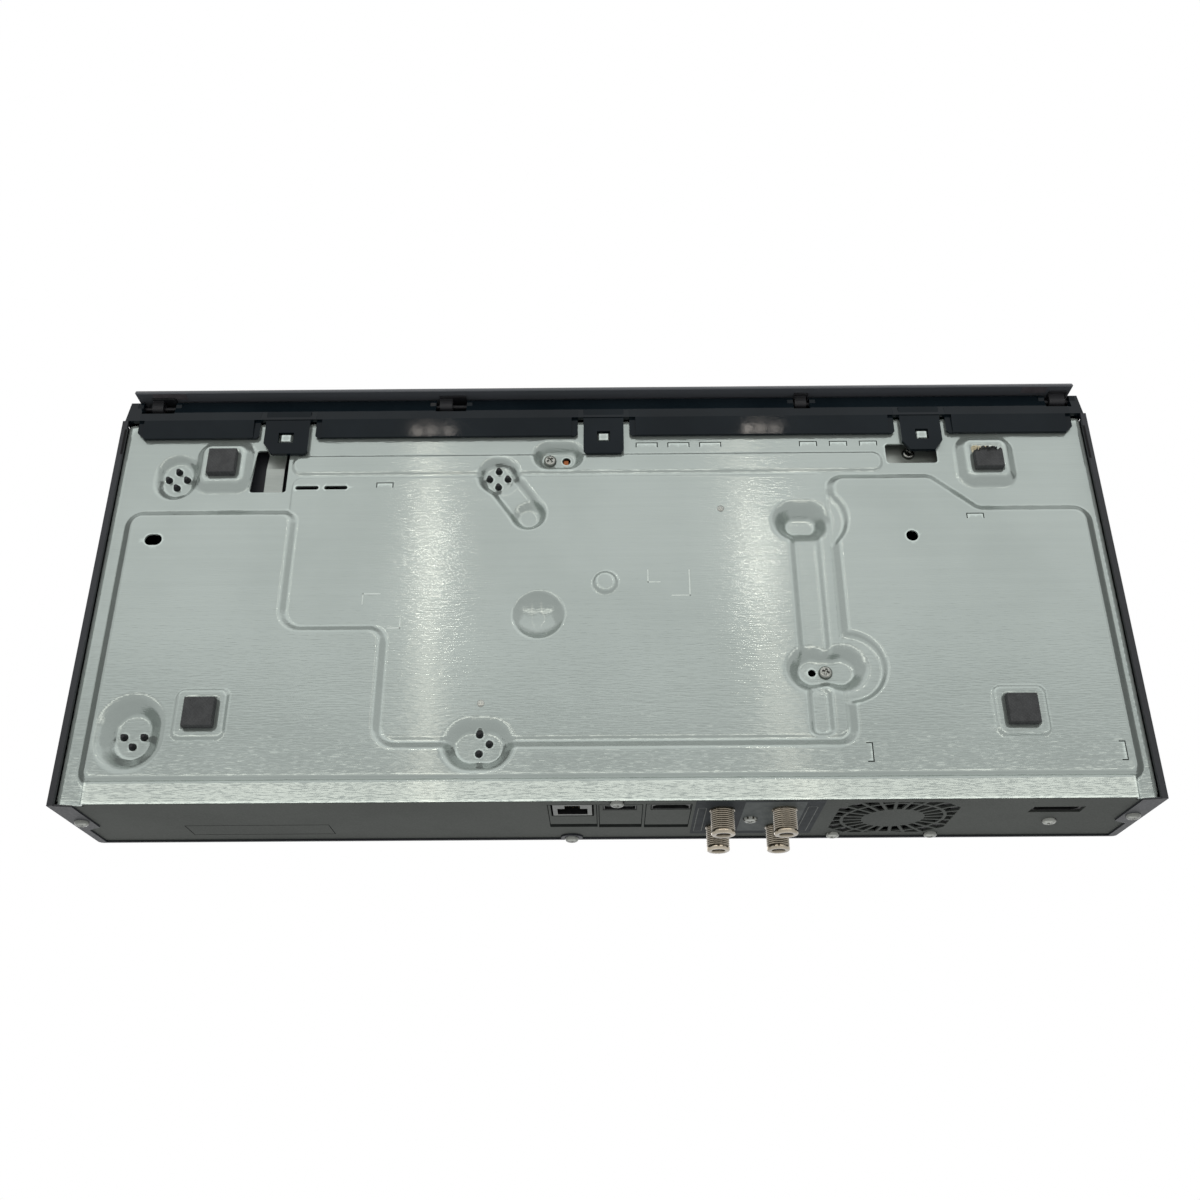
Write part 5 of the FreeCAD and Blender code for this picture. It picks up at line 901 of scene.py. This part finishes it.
def threadedConnectors():
    vertices, faces, coreVertices, coreFaces = [], [], [], []
    for cx in connector["x"]:
        for cz in connector["z"]:
            threadedBarrel(cx, cz, vertices, faces)
            insulatorCore(cx, cz, coreVertices, coreFaces)
    piece = addPiece("threadedConnectors", vertices, faces, "case", "connector_nickel")
    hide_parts("aerial_connectors")
    shadeSmooth(piece, 30)
    shadeSmooth(addPiece("connectorCores", coreVertices, coreFaces, "case", "inlet_black"), 40)


# Cross-head screws: turned pan heads whose recess narrows towards its floor

screw = {
    "headRadius": 2.9, "headHeight": 1.7, "domePower": 5, "shankRadius": 1.5, "rings": 22, "segments": 48,
    "armLength": 1.6, "armHalfWidth": 0.42, "armWall": 0.18, "armEnd": 0.6, "depth": 1.0,
    "groups": {  # node: seats in mm with a quarter-turn share, way out of the head, shank length
        "panel_screws": ([(4.2, panelFace, 7.4, 0.1), (57.9, panelFace, 30.4, 0.4),
                          (94.9, panelFace, 54.8, 0.7), (135.9, panelFace, 54.8, 0.25),
                          (179.6, panelFace, 35.6, 0.55)], "rear", 4.0),
        "cover_screws": ([(-210, caseRear, 26.5, 0.3), (210, caseRear, 26.5, 0.8),
                          (-14.6, caseRear, 56.1, 0.05)], "rear", 3.0),
        "bottom_screws": ([(-23.9, pocket[1], plate["pocket"], 0.6),
                           (lobe[0] - 0.2, lobe[1], plate["lobe"], 0.2),
                           (*fromRight(79.1, 15.5), 12.6, 0.45)], "down", 2.2),
    },
}


def headHeight(u, v):
    # height of the rounded head over its seat, with the cross recess taken out
    share = math.hypot(u, v) / screw["headRadius"]
    dome = screw["headHeight"] * math.sqrt(max(0.0, 1 - share ** screw["domePower"]))
    across, along = min(abs(u), abs(v)), max(abs(u), abs(v))
    wall = (screw["armHalfWidth"] - across) / screw["armWall"]
    end = (screw["armLength"] - along) / screw["armEnd"]
    return dome - screw["depth"] * min(1.0, max(0.0, min(wall, end)))


def crossHeadScrew(seat, way, length, vertices, faces):
    n, rings = screw["segments"], screw["rings"]
    sx, sy, sz, share = seat
    first = len(vertices)
    turn = share * math.pi / 2

    def put(radius, angle, height):
        u, v = radius * math.cos(angle + turn), radius * math.sin(angle + turn)
        vertices.append((sx + u, sy + height, sz + v) if way == "rear" else (sx + u, sy + v, sz - height))

    for k in range(1, rings + 1):
        radius = screw["headRadius"] * k / rings
        for i in range(n):
            angle = 2 * math.pi * i / n
            put(radius, angle, headHeight(radius * math.cos(angle), radius * math.sin(angle)))
    for radius, height in ((screw["shankRadius"], 0.0), (screw["shankRadius"], -length)):
        for i in range(n):
            put(radius, 2 * math.pi * i / n, height)
    put(0.0, 0.0, headHeight(0, 0))
    centre = len(vertices) - 1
    for k in range(rings + 1):
        faces += bridgeRings(first + (k + 1) * n, first + k * n, n)
    faces += [(first + (i + 1) % n, first + i, centre) for i in range(n)]
    last = first + (rings + 1) * n
    faces.append(tuple(range(last, last + n)))


def crossHeadScrews():
    for node, (seats, way, length) in screw["groups"].items():
        vertices, faces = [], []
        for seat in seats:
            crossHeadScrew(seat, way, length, vertices, faces)
        piece = addPiece(node.replace("_", "") + "Cross", vertices, faces, "case", "screw_zinc")
        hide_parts(node)
        shadeSmooth(piece, 45)


# Print on the rear panel: plain thin frames and dark fields, with no lettering

panelPrint = {  # thickness of one layer of ink, width of a line, then fields as x from and to, z from and to
    "thick": 0.03, "line": 0.3,
    "frames": [(-23.0, -3.6, 10.0, 41.5), (-3.0, 14.4, 10.0, 42.3), (15.4, 33.5, 9.5, 42.8),
               (-172.0, -113.0, 36.0, 50.0)],
    "bands": [(-22.7, -3.9, 37.2, 41.2), (-2.7, 14.1, 37.8, 42.0), (15.7, 33.2, 38.7, 42.5)],
    "label": (34.8, 85.0, 6.0, 53.0), "labelPatch": (54.0, 78.0, 8.0, 49.0), "patchLayer": 1.6,
    "labelFrames": [(36.0, 39.5, 15.5, 49.2), (79.0, 83.0, 14.5, 50.3)],
}


def thinBlocks(name, blocks, body, slot, material):
    # flat blocks given by two corners each, for ink, tape and scribed lines
    vertices, faces = [], []
    for (x0, y0, z0), (x1, y1, z1) in blocks:
        first = len(vertices)
        vertices += [(x0, y0, z0), (x1, y0, z0), (x1, y0, z1), (x0, y0, z1),
                     (x0, y1, z0), (x1, y1, z0), (x1, y1, z1), (x0, y1, z1)]
        for face in ((0, 1, 2, 3), (7, 6, 5, 4), (0, 4, 5, 1), (1, 5, 6, 2), (2, 6, 7, 3), (3, 7, 4, 0)):
            faces.append(tuple(first + i for i in face))
    return addPiece(name, vertices, faces, body, slot, material)


def inkField(x0, x1, z0, z1, layer=1):
    return (x0, panelFace, z0), (x1, panelFace + panelPrint["thick"] * layer, z1)


def inkFrame(x0, x1, z0, z1, layer=1):
    line = panelPrint["line"]
    return [inkField(x0, x1, z0, z0 + line, layer), inkField(x0, x1, z1 - line, z1, layer),
            inkField(x0, x0 + line, z0, z1, layer), inkField(x1 - line, x1, z0, z1, layer)]


def printedPanel():
    ink = ownMaterial("screenPrintInk", "#1A1C1B", "#212322", 0.6, 0.72, specular=0.0)
    blocks = [block for frameCorners in panelPrint["frames"] for block in inkFrame(*frameCorners)]
    blocks += [inkField(*band) for band in panelPrint["bands"]]
    thinBlocks("printedFrames", blocks, "case", "panel_paint", ink)
    dark = ownMaterial("laminatedLabel", "#2A2D2F", "#323537", 0.5, 0.6, specular=0.03)
    thinBlocks("darkLabel", [inkField(*panelPrint["label"])], "case", "panel_paint", dark)
    pale = ownMaterial("labelOutline", "#5A5D5A", "#646764", 0.5, 0.6, specular=0.05)
    outlines = [block for corners in panelPrint["labelFrames"] for block in inkFrame(*corners, 2)]
    thinBlocks("labelOutlines", outlines, "case", "panel_paint", pale)
    grey = ownMaterial("labelGrey", "#464A4A", "#505453", 0.5, 0.6, specular=0.05)
    patch = inkField(*panelPrint["labelPatch"], panelPrint["patchLayer"])
    thinBlocks("labelPatch", [patch], "case", "panel_paint", grey)


# Small traces of making: scribed corners on the plate, tape on the flap's back, a contact tab; and painted
# shade for the hem slots

traces = {
    "lineMm": 0.45, "proud": 0.02, "sunk": 0.1,
    "corners": [((-101, 0.5), (-100.6, 5.2), (-93.9, 0.6)), ((-84.7, 16.3), (-89.8, 16.3), (-85, 11.8)),
                ((18.2, -4.1), (18.3, -9.7), (23.2, -4.0)), ((35.6, 2.2), (36, -9.6), (28.1, 2.1))],
    "tapes": [(-203.4, -188.3, 2.2, 6.5), (188.5, 199.9, 2.2, 6.5)], "flapThick": 2.5, "tapeThick": 0.05,
    "contact": ((2.1, -1.1, 13.2), (4.2, 1.1, 13.5)),  # two corners from the pocket's middle
    "hemSlots": [(-213.4, -81.0, -68.0), (212.4, -79.0, -62.0)], "hemWide": 1.0,
}


def scribedCorners():
    half, level = traces["lineMm"] / 2, plate["centre"]
    blocks = []
    for (cx, cy), *ends in traces["corners"]:
        for ex, ey in ends:
            low = (min(cx, ex) - half, min(cy, ey) - half, level - traces["proud"])
            high = (max(cx, ex) + half, max(cy, ey) + half, level + traces["sunk"])
            if abs(ex - cx) > abs(ey - cy):
                low, high = (low[0], cy - half, low[2]), (high[0], cy + half, high[2])
            else:
                low, high = (cx - half, low[1], low[2]), (cx + half, high[1], high[2])
            blocks.append((low, high))
    bright = ownMaterial("scribedZinc", "#B4BDB8", "#C0C8C3", 0.3, 0.45, 0.4)
    thinBlocks("scribedCorners", blocks, "case", "galvanised_steel", bright)


def flapTapes():
    y = frontFace + traces["flapThick"]
    smoke = ownMaterial("clearTape", "#4B484B", "#575457", 0.25, 0.4)
    blocks = [((x0, y, z0), (x1, y + traces["tapeThick"], z1)) for x0, x1, z0, z1 in traces["tapes"]]
    thinBlocks("flapTapes", blocks, "flap", "smoke_acrylic", smoke)


def contactTab():
    copper = ownMaterial("brightCopper", "#7A4A2E", "#8F5A3A", 0.25, 0.4, 0.9)
    tab = tuple((pocket[0] + x, pocket[1] + y, z) for x, y, z in traces["contact"])
    thinBlocks("contactTab", [tab], "case", "screw_zinc", copper)


def hemSlots():
    # painted shade: thin black blocks on the cover's hem stand for the shadow inside its slots
    black = ownMaterial("shadowedSlot", "#070708", "#0B0B0C", 0.6, 0.8)
    low, high = coverLow.z - traces["proud"], coverLow.z + traces["sunk"]
    blocks = [((x, y0, low), (x + traces["hemWide"], y1, high)) for x, y0, y1 in traces["hemSlots"]]
    thinBlocks("hemSlots", blocks, "case", "cover_paint", black)


# Network socket: what is seen in its mouth

port = {  # in mm: middle, half width and heights of the mouth and of its latch notch, depths, contact wires
    "x": -13.3, "half": 5.85, "low": 16.05, "high": 23.75, "notchHalf": 2.95, "notchLow": 12.05,
    "mouth": 0.3, "back": 11.6, "wires": 8, "pitch": 1.02, "wireWide": 0.45, "wireZ": (22.4, 22.75),
    "wireLeft": 4.1, "wireFrom": 2.0, "wireTo": 2.5,
}


def portLining():
    # black plastic body inside the network socket, open towards the plug, with its contact wires
    x, half, notch, low = port["x"], port["half"], port["notchHalf"], port["low"]
    loop = [(x - half, low), (x - notch, low), (x - notch, port["notchLow"]), (x + notch, port["notchLow"]),
            (x + notch, low), (x + half, low), (x + half, port["high"]), (x - half, port["high"])]
    mouth, back = panelFace - port["mouth"], panelFace - port["back"]
    vertices = [(px, y, z) for y in (mouth, back) for px, z in loop]
    faces = bridgeRings(0, len(loop), len(loop)) + [tuple(range(len(loop), 2 * len(loop)))]
    black = ownMaterial("blackSocketBody", "#0C0C0D", "#141415", 0.4, 0.6)
    addPiece("portLining", vertices, faces, "case", "jack_metal", black)
    gold = ownMaterial("goldPlatedWire", "#A8874A", "#C4A363", 0.2, 0.35, 1.0)
    blocks = []
    for i in range(port["wires"]):
        left = x - port["wireLeft"] + port["pitch"] * i
        blocks.append(((left, back + port["wireFrom"], port["wireZ"][0]),
                       (left + port["wireWide"], mouth - port["wireTo"], port["wireZ"][1])))
    thinBlocks("portWires", blocks, "case", "jack_metal", gold)


# Camera, light and floor

cameraSet = {  # places in mm, turned as the photograph's camera stood
    "place": (0.45, 225.72, -448.56), "aim": (-1.94, 6.85, 0.985), "roll": 179.0066,
    "lens": 36.48, "sensor": 36, "nearest": 0.01, "farthest": 50,
}
floorSet = {"colour": "#F1F1EF", "roughness": 0.9, "half": 1.2, "fadeFrom": 0.32, "fadeTo": 0.92}  # metres
lightSet = {
    "world": 0.62, "background": "#FFFFFF",
    "lamps": [  # name, place in mm, aim in mm, width and length in mm, watts, colour
        ("underSoft", (0, -620, -640), (0, 0, 0), 1700, 900, 2.4, "#FFFFFF"),
        ("stripLeft", (-188, -340, -690), (-187.5, -330, 0), 16, 1300, 0.13, "#FFF0E2"),
        ("stripRight", (165, -340, -690), (165.8, -330, 0), 16, 1300, 0.11, "#FFF0E2"),
        ("bandGlow", (0, -15, -690), (0, 80, 5), 1500, 110, 0.95, "#FFF8F0"),
        ("rearSoft", (0, 900, 300), (0, 60, 25), 1400, 700, 2.6, "#FFFFFF"),
        ("topSoft", (-400, -500, 1200), (0, 0, 30), 1200, 900, 5.6, "#FFFFFF"),
        ("frontSoft", (500, -1100, 500), (0, 0, 30), 900, 900, 4.2, "#FFFFFF"),
    ],
    "spots": {"x": [-199, -183, -166, 153, 166, 181], "y": -385, "z": -690, "size": 9, "watts": 0.009,
              "colour": "#FFF6EC"},
}


def makeCamera():
    data = bpy.data.cameras.new("camera")
    data.lens = cameraSet["lens"]
    data.sensor_width = cameraSet["sensor"]
    data.clip_start, data.clip_end = cameraSet["nearest"], cameraSet["farthest"]
    camera = bpy.data.objects.new("camera", data)
    bpy.context.scene.collection.objects.link(camera)
    place, aim = Vector(cameraSet["place"]) * mm, Vector(cameraSet["aim"]) * mm
    camera.location = place
    camera.rotation_mode = "QUATERNION"
    turn = Matrix.Rotation(math.radians(cameraSet["roll"]), 3, "Z").to_quaternion()
    camera.rotation_quaternion = (aim - place).to_track_quat("-Z", "Y") @ turn
    bpy.context.scene.camera = camera


def makeLights():
    spots = lightSet["spots"]
    small = [("spot", (x, spots["y"], spots["z"]), (x, spots["y"] + 10, 0), spots["size"], spots["size"],
              spots["watts"], spots["colour"]) for x in spots["x"]]
    for name, place, aim, width, length, watts, colour in lightSet["lamps"] + small:
        data = bpy.data.lights.new(name, "AREA")
        data.shape = "RECTANGLE"
        data.size, data.size_y = width * mm, length * mm
        data.energy = watts
        data.color = linearColour(colour)[:3]
        lamp = bpy.data.objects.new(name, data)
        bpy.context.scene.collection.objects.link(lamp)
        lamp.location = Vector(place) * mm
        lamp.rotation_mode = "QUATERNION"
        lamp.rotation_quaternion = (Vector(aim) * mm - lamp.location).to_track_quat("-Z", "Y")
        lamp.visible_camera = False


def makeWorld():
    # white to the eye and in reflections, a plain level for soft light
    world = bpy.data.worlds.new("studio")
    world.use_nodes = True
    bpy.context.scene.world = world
    tree = world.node_tree
    path = addNode(tree, "ShaderNodeLightPath")
    seen = addNode(tree, "ShaderNodeMath", {"operation": "MAXIMUM"},
                   {0: path.outputs["Is Camera Ray"], 1: path.outputs["Is Glossy Ray"]})
    shown = addNode(tree, "ShaderNodeMath", {"operation": "MAXIMUM"},
                    {0: seen.outputs[0], 1: path.outputs["Is Transmission Ray"]})
    strength = addNode(tree, "ShaderNodeMapRange", {},
                       {"Value": shown.outputs[0], "To Min": lightSet["world"], "To Max": 1.0})
    background = tree.nodes["Background"]
    background.inputs["Color"].default_value = linearColour(lightSet["background"])
    tree.links.new(strength.outputs[0], background.inputs["Strength"])


def makeFloor():
    # pale floor under the feet, fading into the white; from below it is clear, so that the underside is seen
    half = floorSet["half"]
    mesh = bpy.data.meshes.new("floor")
    corners = [(-half, -half, 0), (half, -half, 0), (half, half, 0), (-half, half, 0)]
    mesh.from_pydata(corners, [], [(0, 1, 2, 3)])
    floor = bpy.data.objects.new("floor", mesh)
    bpy.context.scene.collection.objects.link(floor)
    material = bpy.data.materials.new("paleFloor")
    material.use_nodes = True
    tree = material.node_tree
    shader = tree.nodes["Principled BSDF"]
    shader.inputs["Base Color"].default_value = linearColour(floorSet["colour"])
    shader.inputs["Roughness"].default_value = floorSet["roughness"]
    side = addNode(tree, "ShaderNodeNewGeometry")
    clear = addNode(tree, "ShaderNodeBsdfTransparent")
    away = addNode(tree, "ShaderNodeVectorMath", {"operation": "LENGTH"},
                   {0: addNode(tree, "ShaderNodeTexCoord").outputs["Object"]})
    fade = addNode(tree, "ShaderNodeMapRange", {"interpolation_type": "SMOOTHSTEP"},
                   {"Value": away.outputs["Value"], "From Min": floorSet["fadeFrom"],
                    "From Max": floorSet["fadeTo"]})
    seeThrough = addNode(tree, "ShaderNodeMath", {"operation": "MAXIMUM"},
                         {0: side.outputs["Backfacing"], 1: fade.outputs[0]})
    mix = addNode(tree, "ShaderNodeMixShader", {},
                  {0: seeThrough.outputs[0], 1: shader.outputs[0], 2: clear.outputs[0]})
    tree.links.new(mix.outputs[0], tree.nodes["Material Output"].inputs["Surface"])
    mesh.materials.append(material)
    floor.visible_glossy = False
    floor.visible_diffuse = False
    floor.visible_transmission = False
    floor.visible_shadow = False  # the lamps below shine through it


makeMaterials()
finishNodes()
pressedPlate()
plateRivets()
rubberFeet()
print("feet made")
threadedConnectors()
crossHeadScrews()
print("connectors and screws made")
printedPanel()
scribedCorners()
flapTapes()
contactTab()
portLining()
hemSlots()
print("print and small pieces made")
makeCamera()
makeLights()
makeWorld()
makeFloor()
bpy.context.scene.view_settings.view_transform = "Standard"
print("scene made")
